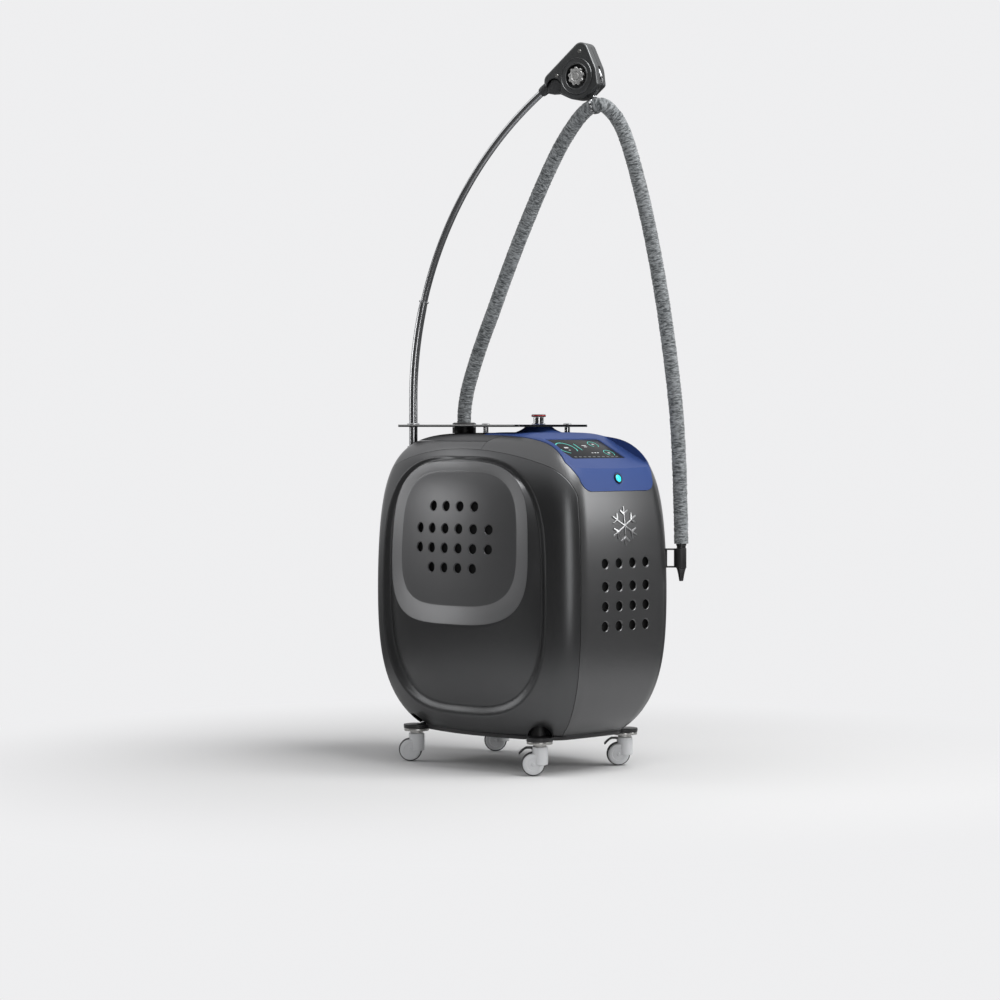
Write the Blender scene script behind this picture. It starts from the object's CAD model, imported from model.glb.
# %% [markdown]
# A hot and cold therapy machine: a grey cabinet on four casters, with a blue
# control cover, a glass shelf, a curved pole with a spring balancer, and an air
# hose that hangs from it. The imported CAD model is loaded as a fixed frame. Pieces
# whose solids are already right keep them and only get a finish. The others are
# modelled again here, finer, and take the place of their solid.

# %% Load the frame
from math import acos, asin, atan, atan2, cos, pi, radians, sin, sqrt

import bpy
import bmesh
from mathutils import Matrix, Vector


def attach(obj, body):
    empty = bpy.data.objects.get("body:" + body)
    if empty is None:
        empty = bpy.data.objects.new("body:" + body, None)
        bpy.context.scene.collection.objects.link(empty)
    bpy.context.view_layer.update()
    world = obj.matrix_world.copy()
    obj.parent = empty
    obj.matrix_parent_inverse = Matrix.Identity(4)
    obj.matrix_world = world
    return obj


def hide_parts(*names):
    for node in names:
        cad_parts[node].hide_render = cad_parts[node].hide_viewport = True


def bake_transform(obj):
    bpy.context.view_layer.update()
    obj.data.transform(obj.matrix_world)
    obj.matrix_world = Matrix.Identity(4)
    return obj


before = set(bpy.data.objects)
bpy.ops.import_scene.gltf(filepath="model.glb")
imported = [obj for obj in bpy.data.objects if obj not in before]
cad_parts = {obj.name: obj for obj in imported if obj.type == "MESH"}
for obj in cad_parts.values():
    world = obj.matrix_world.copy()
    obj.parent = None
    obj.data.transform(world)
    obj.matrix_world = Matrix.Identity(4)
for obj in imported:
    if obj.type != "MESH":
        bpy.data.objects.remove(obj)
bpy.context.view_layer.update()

# %% [markdown]
# The camera stands well back with a long lens, as in a catalogue photograph: it
# looks at the machine's front left corner, 45 degrees to the front and side, a
# little downwards. A long lens keeps the tall pole and the casters upright. The
# lens is written from the focal length in pixels of a 1000 pixel wide picture.

# %% Camera
IMAGE_SIDE = 1000
SENSOR_WIDTH = 36.0
FOCAL_PIXELS = 2815.0
CAMERA_PLACE = Vector((-4.1660, -4.1072, 0.702))
CAMERA_PITCH = radians(1.506)
DIAGONAL = sqrt(0.5)

camera_data = bpy.data.cameras.new("camera")
camera_data.sensor_width = SENSOR_WIDTH
camera_data.lens = SENSOR_WIDTH * FOCAL_PIXELS / IMAGE_SIDE
camera = bpy.data.objects.new("camera", camera_data)
bpy.context.scene.collection.objects.link(camera)
aim = Vector((cos(CAMERA_PITCH) * DIAGONAL, cos(CAMERA_PITCH) * DIAGONAL, -sin(CAMERA_PITCH)))
camera.location = CAMERA_PLACE
camera.rotation_euler = aim.to_track_quat("-Z", "Y").to_euler()
bpy.context.scene.camera = camera
print("lens:", round(camera_data.lens, 2), "mm")

# %% [markdown]
# A bench of small helpers comes first. Operators act on whatever is selected, and
# the loaded nodes arrive selected, so every new piece starts from an empty
# selection. `new_piece` names the fresh primitive, `finish_piece` bakes its place
# into the mesh, sets its finish and lets it ride on a body of the machine, and
# `stand_in` lets it take the place of a solid of the model.

# %% Helpers for making a piece
def deselect():
    if bpy.context.object and bpy.context.object.mode != "OBJECT":
        bpy.ops.object.mode_set(mode="OBJECT")
    bpy.ops.object.select_all(action="DESELECT")


def select_only(piece):
    deselect()
    piece.select_set(True)
    bpy.context.view_layer.objects.active = piece
    return piece


def new_piece(name):
    piece = bpy.context.object
    piece.name = name
    piece.data.name = name
    return piece


def place_in_mesh(piece):
    select_only(piece)
    bpy.ops.object.transform_apply(location=True, rotation=True, scale=True)
    return piece


def apply_all(piece):
    select_only(piece)
    for modifier in list(piece.modifiers):
        bpy.ops.object.modifier_apply(modifier=modifier.name)
    return piece


def finish_piece(piece, material, body, angle=35):
    place_in_mesh(piece)
    if angle:
        bpy.ops.object.shade_smooth_by_angle(angle=radians(angle))
    piece.data.materials.clear()
    piece.data.materials.append(material)
    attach(piece, body)
    return piece


def stand_in(piece, node, slot):
    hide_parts(node)


print("helpers ready")

# %% [markdown]
# Materials, the floor and the world are all made of nodes. Linking them one by one
# takes many lines, so one helper makes a node and fills its inputs: what is a
# socket is linked, and what is a number or a colour is set.

# %% Helpers for nodes
def add_node(tree, kind, inputs=(), **settings):
    node = tree.nodes.new(kind)
    for name, value in settings.items():
        setattr(node, name, value)
    for key, value in dict(inputs).items():
        if isinstance(value, bpy.types.NodeSocket):
            tree.links.new(value, node.inputs[key])
        else:
            node.inputs[key].default_value = value
    return node


def math_node(tree, operation, *values, clamp=False):
    node = add_node(tree, "ShaderNodeMath", enumerate(values), operation=operation, use_clamp=clamp)
    return node.outputs["Value"]


def noise_node(tree, vector, scale, detail, rough):
    noise_inputs = {"Vector": vector, "Scale": scale, "Detail": detail, "Roughness": rough}
    return add_node(tree, "ShaderNodeTexNoise", noise_inputs).outputs["Fac"]


def smooth_range(tree, value, low, high, **ends):
    """A value's smooth rise between two limits, from 0 to 1 or between other ends."""
    inputs = {"Value": value, "From Min": low, "From Max": high}
    inputs.update({"To Min": ends.get("bottom", 0.0), "To Max": ends.get("top", 1.0)})
    return add_node(tree, "ShaderNodeMapRange", inputs, interpolation_type="SMOOTHSTEP").outputs["Result"]


def mix_shaders(tree, factor, first, second):
    return add_node(tree, "ShaderNodeMixShader", {0: factor, 1: first, 2: second}).outputs["Shader"]


print("node helpers ready")

# %% [markdown]
# The floor is a large pale disc that stands for a studio floor. Its middle takes
# the machine's shadow. Towards its edge it turns into the same white as the world
# for camera and transmission rays, so that no horizon is seen, and into a dimmer
# tone for glossy rays, so that the dark paint mirrors a room with some depth. A
# curved backdrop would do it too, but it would stand in the way of views from behind.

# %% Floor
FLOOR_RADIUS = 30.0
FLOOR_COLOUR = (0.78, 0.78, 0.78, 1)
ROOM_WHITE = (0.86, 0.86, 0.87, 1)
MIRRORED_FLOOR = 0.15
FADE_START, FADE_END = 0.45, 1.4

deselect()
bpy.ops.mesh.primitive_circle_add(vertices=96, radius=FLOOR_RADIUS, fill_type="NGON")
floor = new_piece("floor")
floor_finish = bpy.data.materials.new("studio_floor")
floor_finish.use_nodes = True
tree = floor_finish.node_tree
tree.nodes.clear()
place = add_node(tree, "ShaderNodeTexCoord").outputs["Object"]
reach = add_node(tree, "ShaderNodeVectorMath", {0: place}, operation="LENGTH").outputs["Value"]
path = add_node(tree, "ShaderNodeLightPath").outputs
shown = math_node(tree, "MAXIMUM", path["Is Camera Ray"], path["Is Glossy Ray"])
shown = math_node(tree, "MAXIMUM", path["Is Transmission Ray"], shown)
share = math_node(tree, "MULTIPLY", smooth_range(tree, reach, FADE_START, FADE_END), shown)
dimmed = math_node(tree, "MULTIPLY_ADD", path["Is Glossy Ray"], MIRRORED_FLOOR - 1, 1)
paint = add_node(tree, "ShaderNodeBsdfDiffuse", {"Color": FLOOR_COLOUR}).outputs["BSDF"]
glow = add_node(tree, "ShaderNodeEmission", {"Color": ROOM_WHITE, "Strength": dimmed}).outputs["Emission"]
add_node(tree, "ShaderNodeOutputMaterial", {"Surface": mix_shaders(tree, share, paint, glow)})
floor.data.materials.append(floor_finish)
print("floor radius:", FLOOR_RADIUS)

# %% [markdown]
# The world gives an even, soft light. Rays from the camera and through glass see
# it as the pale studio. What metal mirrors is the same studio with some depth: the
# pale backdrop behind the machine, a bright ceiling, and a dimmer room behind the
# camera, without which chrome and metallic paint would look flat. An image of a
# room would do it too, but two smooth bands are enough for a cabinet this plain.

# %% World
ROOM_DIM = 0.04
SOFT_LIGHT = 0.42
BACKDROP_BAND = (0.0, 0.9, 0.85)
CEILING_BAND = (0.30, 0.65, 1.0)

world = bpy.data.worlds.new("studio")
bpy.context.scene.world = world
world.use_nodes = True
tree = world.node_tree
tree.nodes.clear()


def background(strength):
    return add_node(tree, "ShaderNodeBackground", {"Color": ROOM_WHITE, "Strength": strength}).outputs["Background"]


def band(value, low, high, top):
    return smooth_range(tree, value, low, high, bottom=ROOM_DIM, top=top)


look = add_node(tree, "ShaderNodeTexCoord").outputs["Generated"]
height = add_node(tree, "ShaderNodeSeparateXYZ", {"Vector": look}).outputs["Z"]
away = add_node(tree, "ShaderNodeVectorMath", {0: look, 1: (DIAGONAL, DIAGONAL, 0)}, operation="DOT_PRODUCT")
backdrop = band(away.outputs["Value"], *BACKDROP_BAND)
mirrored = background(math_node(tree, "MAXIMUM", backdrop, band(height, *CEILING_BAND)))
path = add_node(tree, "ShaderNodeLightPath").outputs
lit = mix_shaders(tree, path["Is Glossy Ray"], background(SOFT_LIGHT), mirrored)
seen = math_node(tree, "MAXIMUM", path["Is Camera Ray"], path["Is Transmission Ray"])
add_node(tree, "ShaderNodeOutputWorld", {"Surface": mix_shaders(tree, seen, lit, background(1.0))})
print("world:", world.name)

# %% [markdown]
# Large area lamps shape the covers. A wide one above gives the main light and the
# shadow. One behind on the left, low and broad, lays the soft sheen along the flank,
# and a second, higher one catches the shoulder. A weaker one on the right opens the
# front, and a tall strip draws the bright line down the corner. Each stands where
# the paint mirrors it to the camera. Spot lamps would give hard, small highlights.

# %% Lamps
def lamp(name, place, target, width, height, power):
    data = bpy.data.lights.new(name, "AREA")
    data.shape = "RECTANGLE"
    data.size = width
    data.size_y = height
    data.energy = power
    made = bpy.data.objects.new(name, data)
    bpy.context.scene.collection.objects.link(made)
    made.location = place
    made.rotation_euler = (Vector(target) - Vector(place)).to_track_quat("-Z", "Y").to_euler()
    made.visible_camera = False


lamp("lamp_top", (0.3, -1.6, 3.1), (0, 0, 0.6), 2.0, 2.0, 78)
lamp("lamp_left", (-2.25, 2.6, 1.02), (-0.2, 0, 0.5), 1.6, 0.55, 10)
lamp("lamp_shoulder", (-1.4, 2.4, 2.6), (-0.2, 0, 0.5), 2.0, 1.0, 9)
lamp("lamp_right", (2.2, -3.2, 1.7), (0, 0, 0.5), 1.4, 1.6, 34)
lamp("lamp_strip", (-1.95, -2.75, 0.75), (-0.14, -0.27, 0.4), 0.75, 1.8, 14)
view_settings = bpy.context.scene.view_settings
view_settings.view_transform = "Standard"
print("view transform:", view_settings.view_transform)

# %% [markdown]
# Finishes. Each material keeps its own Principled shader, and shared effects are
# node groups that put out only values and colours: `moulded_grain` is the fine
# texture of moulded or painted plastic, `handling` is the slow unevenness of
# colour and gloss that touching and wiping leave, and `brushed` is the fine lines
# of turned or drawn metal. All read Object coordinates, which are the metres of
# the machine, so that a grain has the same size on each piece.

# %% Shared groups
FLOAT, COLOUR = "NodeSocketFloat", "NodeSocketColor"


def new_group(name, inputs, outputs):
    """A node group with inputs (name, kind, value), its inside ends and its place socket."""
    group = bpy.data.node_groups.new(name, "ShaderNodeTree")
    for label, kind, value in inputs:
        group.interface.new_socket(name=label, in_out="INPUT", socket_type=kind).default_value = value
    for label, kind in outputs:
        group.interface.new_socket(name=label, in_out="OUTPUT", socket_type=kind)
    place = add_node(group, "ShaderNodeTexCoord").outputs["Object"]
    return group, group.nodes.new("NodeGroupInput").outputs, group.nodes.new("NodeGroupOutput").inputs, place


def varied(tree, base, noise, spread):
    """A value that a noise makes a little larger or smaller."""
    swing = math_node(tree, "MULTIPLY", math_node(tree, "SUBTRACT", noise, 0.5), spread)
    return math_node(tree, "ADD", base, swing, clamp=True)


grain_group, start, end, place = new_group("moulded_grain", [("Size", FLOAT, 900.0)], [("Height", FLOAT)])
grain_group.links.new(noise_node(grain_group, place, start["Size"], 3.0, 0.6), end["Height"])

handling_group, start, end, place = new_group(
    "handling", [("Colour", COLOUR, (0.5, 0.5, 0.5, 1)), ("Worn", COLOUR, (0.6, 0.6, 0.6, 1)),
                 ("Roughness", FLOAT, 0.4), ("Spread", FLOAT, 0.08)],
    [("Colour", COLOUR), ("Roughness", FLOAT)])
slow = noise_node(handling_group, place, 7.0, 4.0, 0.55)
smear = noise_node(handling_group, place, 38.0, 2.0, 0.5)
share = math_node(handling_group, "MULTIPLY", slow, 0.6)
colours = {"Factor": share, 6: start["Colour"], 7: start["Worn"]}
mix = add_node(handling_group, "ShaderNodeMix", colours, data_type="RGBA")
handling_group.links.new(mix.outputs[2], end["Colour"])
handling_group.links.new(varied(handling_group, start["Roughness"], smear, start["Spread"]), end["Roughness"])

brushed_group, start, end, place = new_group(
    "brushed", [("Roughness", FLOAT, 0.2), ("Spread", FLOAT, 0.15), ("Fineness", FLOAT, 1500.0)],
    [("Roughness", FLOAT), ("Height", FLOAT)])
stretch = add_node(brushed_group, "ShaderNodeMapping", {"Vector": place, "Scale": (0.06, 0.06, 1.0)})
lines = noise_node(brushed_group, stretch.outputs["Vector"], start["Fineness"], 2.0, 0.5)
brushed_group.links.new(varied(brushed_group, start["Roughness"], lines, start["Spread"]), end["Roughness"])
brushed_group.links.new(lines, end["Height"])
print("groups:", grain_group.name, handling_group.name, brushed_group.name)

# %% [markdown]
# Plastics and paints share one recipe: a base colour that `handling` varies a
# little, and a grain that feeds a Bump node. The cabinet is a gunmetal paint with
# fine metal flakes, so it is partly metallic: it goes dark where it looks at the
# dark side of the room and light where it looks at a lamp, as in the photograph.
# The ring and the pad in the middle of each side cover are a little lighter.

# %% Plastics and paints
def group_node(tree, group, **inputs):
    made = add_node(tree, "ShaderNodeGroup")
    made.node_tree = group
    for name, value in inputs.items():
        made.inputs[name.capitalize()].default_value = value
    return made.outputs


def new_finish(name, colour, worn, inputs, roughness=0.4, spread=0.08):
    """A Principled material whose colour and gloss come from `handling`."""
    material = bpy.data.materials.new(name)
    material.use_nodes = True
    tree = material.node_tree
    shader = tree.nodes["Principled BSDF"]
    wear = group_node(tree, handling_group, colour=(*colour, 1), worn=(*worn, 1), roughness=roughness, spread=spread)
    tree.links.new(wear["Colour"], shader.inputs["Base Color"])
    tree.links.new(wear["Roughness"], shader.inputs["Roughness"])
    for label, value in inputs.items():
        shader.inputs[label].default_value = value
    material.diffuse_color = (*colour, 1)
    return material, tree, shader


def raise_relief(tree, shader, height, strength, distance):
    relief = add_node(tree, "ShaderNodeBump", {"Strength": strength, "Distance": distance, "Height": height})
    tree.links.new(relief.outputs["Normal"], shader.inputs["Normal"])


def painted(name, colour, worn, roughness, grain=900.0, bump=0.05, spread=0.08, **inputs):
    inputs = {label.replace("_", " "): value for label, value in inputs.items()}
    material, tree, shader = new_finish(name, colour, worn, inputs, roughness, spread)
    raise_relief(tree, shader, group_node(tree, grain_group, size=grain)["Height"], bump, 0.0004)
    return material


def cabinet_paint(name, colour, worn, roughness, metallic):
    """A smooth metallic paint, without grain."""
    return painted(name, colour, worn, roughness, bump=0.0, spread=0.05, Metallic=metallic)


cover_paint = cabinet_paint("gunmetal_paint", (0.088, 0.089, 0.091), (0.104, 0.105, 0.107), 0.31, 0.88)
panel_paint = cabinet_paint("satin_grey_paint", (0.118, 0.119, 0.121), (0.136, 0.137, 0.139), 0.31, 0.82)
ring_paint = cabinet_paint("satin_ring_paint", (0.200, 0.201, 0.205), (0.220, 0.221, 0.225), 0.38, 0.80)
pad_paint = cabinet_paint("satin_pad_paint", (0.140, 0.141, 0.144), (0.160, 0.161, 0.164), 0.36, 0.75)
dark_plastic = painted("dark_grey_plastic", (0.030, 0.031, 0.033), (0.045, 0.046, 0.048), 0.46, grain=700.0, bump=0.25)
blue_plastic = painted("blue_gloss_plastic", (0.030, 0.062, 0.205), (0.038, 0.073, 0.230), 0.46, bump=0.04,
                       spread=0.05, Specular_IOR_Level=0.25)
black_plastic = painted("black_plastic", (0.012, 0.012, 0.013), (0.022, 0.022, 0.023), 0.42, grain=650.0, bump=0.3)
housing_nylon = painted("housing_nylon", (0.600, 0.608, 0.620), (0.540, 0.545, 0.550), 0.42, grain=800.0, bump=0.2)
tyre_rubber = painted("tyre_rubber", (0.060, 0.061, 0.063), (0.085, 0.085, 0.087), 0.55, grain=500.0, bump=0.3)
red_plastic = painted("red_plastic", (0.420, 0.018, 0.022), (0.500, 0.035, 0.035), 0.36, bump=0.08, Coat_Weight=0.3,
                      Coat_Roughness=0.12)
inside_black = painted("inside_black", (0.008, 0.008, 0.008), (0.014, 0.014, 0.014), 0.7, grain=400.0, bump=0.3)
board_green = painted("circuit_board", (0.018, 0.120, 0.050), (0.030, 0.150, 0.070), 0.5)
nozzle_plastic = painted("nozzle_plastic", (0.050, 0.050, 0.052), (0.075, 0.075, 0.077), 0.24, grain=500.0, bump=0.3,
                         Metallic=0.7)
print("paints:", len(bpy.data.materials))

# %% [markdown]
# The shelf is toughened black glass: it is seen edge on and nearly opaque, so a dark
# glossy surface with a clear coat stands for it, without the time that refraction
# takes. The screen's pane mirrors very little. The lit lens and the screen's
# drawing shine by themselves.

# %% Glass and lights
shelf_glass = painted("black_glass", (0.006, 0.007, 0.008), (0.010, 0.011, 0.012), 0.09, bump=0.0, spread=0.04,
                      Coat_Weight=0.6, Coat_Roughness=0.03)
screen_glass = painted("screen_glass", (0.022, 0.023, 0.025), (0.026, 0.027, 0.029), 0.20, bump=0.0, spread=0.04,
                       Specular_IOR_Level=0.05)


def glowing(name, colour, strength, roughness):
    return painted(name, colour, colour, roughness, bump=0.0, Emission_Color=(*colour, 1), Emission_Strength=strength)


lit_lens = glowing("lit_lens", (0.020, 0.560, 0.760), 1.1, 0.2)
mark_cyan = glowing("mark_cyan", (0.060, 0.420, 0.360), 0.7, 0.4)
mark_white = glowing("mark_white", (0.420, 0.430, 0.440), 0.6, 0.4)
mark_grey = glowing("mark_grey", (0.075, 0.080, 0.085), 0.4, 0.4)
print("glass and lit parts ready")

# %% [markdown]
# Metals are fully metallic, and `brushed` gives them their roughness. For polished
# tubes its noise is coarse and weak and the relief is off, because fine lines on a
# thin round tube break the long highlight into specks.

# %% Metals
def metal(name, colour, roughness, spread=0.12, bump=0.02, fineness=1500.0):
    material, tree, shader = new_finish(name, colour, [c * 0.86 for c in colour], {"Metallic": 1.0})
    lines = group_node(tree, brushed_group, roughness=roughness, spread=spread, fineness=fineness)
    tree.links.new(lines["Roughness"], shader.inputs["Roughness"])
    raise_relief(tree, shader, lines["Height"], bump, 0.0002)
    return material


chrome = metal("chrome", (0.600, 0.605, 0.615), 0.12, spread=0.04, bump=0.0, fineness=80.0)
satin_chrome = metal("satin_chrome", (0.520, 0.524, 0.530), 0.34)
dark_chrome = metal("dark_chrome", (0.440, 0.445, 0.455), 0.22, spread=0.04, bump=0.0, fineness=80.0)
dark_metal = metal("dark_metal", (0.120, 0.122, 0.126), 0.30)
cast_bright = metal("cast_bright", (0.740, 0.740, 0.730), 0.46)
cast_grey = metal("cast_grey_paint", (0.165, 0.169, 0.171), 0.42, spread=0.10, bump=0.06)
zinc = metal("zinc_plated_steel", (0.480, 0.475, 0.460), 0.34, bump=0.08)
aluminium = metal("aluminium_fins", (0.560, 0.565, 0.570), 0.38, bump=0.08)
print("metals:", chrome.name, zinc.name, aluminium.name)

# %% [markdown]
# The hose is a round air hose in a woven sleeve, 30 mm thick and 1.71 m long. It
# leaves the collar behind the stop button, rises to the clamp under the balancer,
# turns over it and hangs down to the nozzle. A curve with a round bevel would be
# quick, but the sleeve's creases have to show at its outline. So the route is a
# smooth line through knots, cut into even steps, and a mesh tube follows it.

# %% Hose route
HOSE_DIAMETER = 0.030
HOSE_KNOTS = [
    (0.000, 0.166, 0.6905), (0.000, 0.166, 0.715), (0.000, 0.1645, 0.738), (0.000, 0.1595, 0.763),
    (0.000, 0.1520, 0.788), (0.000, 0.1315, 0.837), (0.000, 0.1075, 0.887), (0.000, 0.0812, 0.9366),
    (0.000, 0.0560, 0.986), (0.000, 0.0300, 1.035), (0.000, 0.0034, 1.0836), (0.000, -0.0245, 1.1318),
    (0.000, -0.0535, 1.1796), (0.000, -0.0840, 1.227), (0.000, -0.1174, 1.2737), (0.000, -0.1510, 1.3110),
    (-0.001, -0.1790, 1.3340), (-0.001, -0.2020, 1.3462), (0.0014, -0.2239, 1.3490), (0.0130, -0.2290, 1.3465),
    (0.0268, -0.2351, 1.3344), (0.0402, -0.2412, 1.3162), (0.0542, -0.2476, 1.2845), (0.0735, -0.2563, 1.2206),
    (0.0965, -0.2673, 1.1243), (0.1160, -0.2757, 1.0273), (0.1320, -0.2831, 0.9301), (0.1450, -0.2892, 0.8325),
    (0.1560, -0.2940, 0.7347), (0.1619, -0.2968, 0.6366), (0.1651, -0.2982, 0.5384), (0.1662, -0.2987, 0.4990),
    (0.1668, -0.2990, 0.4615)]
KNOT_STEPS = 24
SLEEVE_STEP = 0.0011


def smooth_route(knots, steps):
    """Points on a Catmull-Rom curve through the knots."""
    knots = [Vector(k) for k in knots]
    last = len(knots) - 1
    route = []
    for i in range(last):
        a, b, c, d = (knots[max(0, min(last, k))] for k in (i - 1, i, i + 1, i + 2))
        for k in range(steps):
            t = k / steps
            route.append(0.5 * (2 * b + (c - a) * t + (2 * a - 5 * b + 4 * c - d) * t * t
                                + (3 * b - a - 3 * c + d) * t ** 3))
    return route + [knots[-1]]


def evenly(route, step):
    """The same line with its points a fixed step apart."""
    reach = [0.0]
    for p, q in zip(route, route[1:]):
        reach.append(reach[-1] + (q - p).length)
    count = round(reach[-1] / step)
    points = []
    k = 1
    for i in range(count + 1):
        want = reach[-1] * i / count
        while k < len(reach) - 1 and reach[k] < want:
            k += 1
        share = (want - reach[k - 1]) / (reach[k] - reach[k - 1])
        points.append(route[k - 1].lerp(route[k], min(1.0, share)))
    return points, reach[-1]


hose_line, hose_reach = evenly(smooth_route(HOSE_KNOTS, KNOT_STEPS), SLEEVE_STEP)
print("hose:", len(hose_line), "points,", round(hose_reach, 3), "m")

# %% [markdown]
# Many pieces start as a flat grid, a primitive that has its points in columns and
# rows. `wrapped_grid` moves each point to its place on the real surface, and `weld`
# merges the points that meet where the grid closes on itself. Extruding a ring many
# times would give the same mesh, but it is slower and harder to steer.

# %% Grids
def wrapped_grid(name, columns, rows, place, **options):
    deselect()
    bpy.ops.mesh.primitive_grid_add(x_subdivisions=columns, y_subdivisions=rows, size=1, **options)
    made = new_piece(name)
    for v in made.data.vertices:
        v.co = place(round((v.co.x + 0.5) * columns), round((v.co.y + 0.5) * rows))
    return made


def weld(piece, distance=0.0, fill=False):
    """Merge doubled points, close open ends if asked, and turn the faces outward."""
    bpy.ops.object.mode_set(mode="EDIT")
    bpy.ops.mesh.select_all(action="SELECT")
    if distance:
        bpy.ops.mesh.remove_doubles(threshold=distance)
    if fill:
        bpy.ops.mesh.select_mode(type="VERT")
        bpy.ops.mesh.select_all(action="DESELECT")
        bpy.ops.mesh.select_non_manifold(extend=False)
        bpy.ops.mesh.edge_face_add()
        bpy.ops.mesh.select_all(action="SELECT")
    bpy.ops.mesh.normals_make_consistent(inside=False)
    bpy.ops.object.mode_set(mode="OBJECT")
    return piece


print("grid helpers ready")

# %% [markdown]
# The sleeve is a woven polyester tube pushed together over the hose, so that it
# lies in small creases across it. The mesh carries the coarse ones, from noise on
# each point's angle and distance along the line. Its UV map unrolls the tube in
# metres, and the fine creases, the weave and the darker valleys read that map, so
# they bend with the hose when the arm swings.

# %% Hose mesh
from mathutils import noise

SLEEVE_SIDES = 40
FOLD_PITCH = 0.0036
FOLD_DEPTH = 0.0010
CALM_END = 0.012


def frames_along(line):
    """A point, side and up for each place on a line, turned as little as possible."""
    found = []
    side = Vector((1, 0, 0))
    for i, p in enumerate(line):
        ahead = (line[min(i + 1, len(line) - 1)] - line[max(i - 1, 0)]).normalized()
        side = (side - ahead * side.dot(ahead)).normalized()
        found.append((p, side, ahead.cross(side)))
    return found


def fold_height(angle, run):
    """How far the sleeve stands out or in at a place."""
    c, s = cos(angle), sin(angle)
    crease = noise.noise(Vector((c * 1.4, s * 1.4, run / FOLD_PITCH)))
    pucker = noise.noise(Vector((c * 3.2, s * 3.2, run / FOLD_PITCH * 1.7 + 40)))
    slow = noise.noise(Vector((c * 0.5, s * 0.5, run / 0.05)))
    return 1.7 * crease + 0.8 * pucker + 0.4 * slow


frames = frames_along(hose_line)
last = len(frames) - 1
heights = []


def sleeve_point(column, row):
    angle, run = 2 * pi * (column % SLEEVE_SIDES) / SLEEVE_SIDES, hose_reach * row / last
    height = fold_height(angle, run)
    heights.append(height)
    calm = min(1.0, min(run, hose_reach - run) / CALM_END)
    centre, side, up = frames[row]
    radius = HOSE_DIAMETER / 2 - FOLD_DEPTH / 2 + FOLD_DEPTH * 0.6 * height * calm
    return centre + (side * cos(angle) + up * sin(angle)) * radius


hose_sleeve = wrapped_grid("hose_sleeve", SLEEVE_SIDES, last, sleeve_point, calc_uvs=True)
hose_mesh = hose_sleeve.data
valley = hose_mesh.attributes.new("valley", "FLOAT", "POINT")
valley.data.foreach_set("value", [max(0.0, min(1.0, 0.5 - 0.45 * h)) for h in heights])
sleeve_map = hose_mesh.uv_layers.active
sleeve_map.name = "sleeve"
for corner in sleeve_map.uv:
    corner.vector = (corner.vector.x * pi * HOSE_DIAMETER, corner.vector.y * hose_reach)
weld(hose_sleeve, 0.000001, fill=True)
bpy.ops.object.shade_smooth()
print("sleeve faces:", len(hose_mesh.polygons))

# %% [markdown]
# Two wave textures cross each other for the weave. A noise stretched along the hose
# and made contrasty gives the short crosswise creases. Both raise the relief, and
# the creases darken the colour too, because little light gets into a fold.

# %% Sleeve finish
sleeve_finish = bpy.data.materials.new("woven_sleeve")
sleeve_finish.use_nodes = True
tree = sleeve_finish.node_tree
shader = tree.nodes["Principled BSDF"]
unrolled = add_node(tree, "ShaderNodeUVMap", uv_map="sleeve").outputs["UV"]


def threads(direction, **inputs):
    inputs = {"Vector": unrolled, **{label.replace("_", " "): value for label, value in inputs.items()}}
    return add_node(tree, "ShaderNodeTexWave", inputs, bands_direction=direction).outputs["Fac"]


lengthwise = math_node(tree, "MULTIPLY", threads("Y", Scale=330.0, Distortion=2.2, Detail=2.0, Detail_Scale=1.4), 0.7)
crosswise = math_node(tree, "MULTIPLY", threads("X", Scale=420.0, Distortion=1.2), 0.3)
weave = math_node(tree, "ADD", lengthwise, crosswise)
stretched = add_node(tree, "ShaderNodeMapping", {"Vector": unrolled, "Scale": (95.0, 400.0, 1.0)}).outputs["Vector"]
crinkle = add_node(tree, "ShaderNodeTexNoise", {"Vector": stretched, "Scale": 1.0, "Detail": 1.4, "Distortion": 1.0})
sharp = add_node(tree, "ShaderNodeMapRange", {"Value": crinkle.outputs["Fac"], "From Min": 0.34, "From Max": 0.66})
sharp = sharp.outputs["Result"]
cloth = math_node(tree, "ADD", math_node(tree, "MULTIPLY", sharp, 0.8), math_node(tree, "MULTIPLY", weave, 0.2))
raise_relief(tree, shader, cloth, 0.8, 0.0009)
depth = add_node(tree, "ShaderNodeAttribute", attribute_name="valley").outputs["Fac"]
low = math_node(tree, "SUBTRACT", math_node(tree, "MULTIPLY", depth, 0.6), sharp)
shade = add_node(tree, "ShaderNodeValToRGB", {"Fac": math_node(tree, "ADD", low, 0.65)})
for element, position, colour in zip(shade.color_ramp.elements, (0.05, 0.95),
                                     ((0.290, 0.306, 0.315, 1), (0.050, 0.056, 0.059, 1))):
    element.position = position
    element.color = colour
tree.links.new(shade.outputs["Color"], shader.inputs["Base Color"])
shader.inputs["Roughness"].default_value = 0.88
shader.inputs["Sheen Weight"].default_value = 0.25
hose_mesh.materials.clear()
hose_mesh.materials.append(sleeve_finish)

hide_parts("hose")
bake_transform(hose_sleeve)

# %% [markdown]
# The cabinet's covers are all cut from one swelling form, as moulded covers of
# such a machine are. Seen from above, its outline is made of arcs: a flat one for
# each flank, a flatter one for front and back, and a tight one for each corner.
# Going up or down from the waist, that outline shrinks, slowly at first and then
# fast. The formula is written once here. It is the same as the CAD's, but the
# scene's pieces take many more points from it, so that highlights run smoothly.

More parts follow.
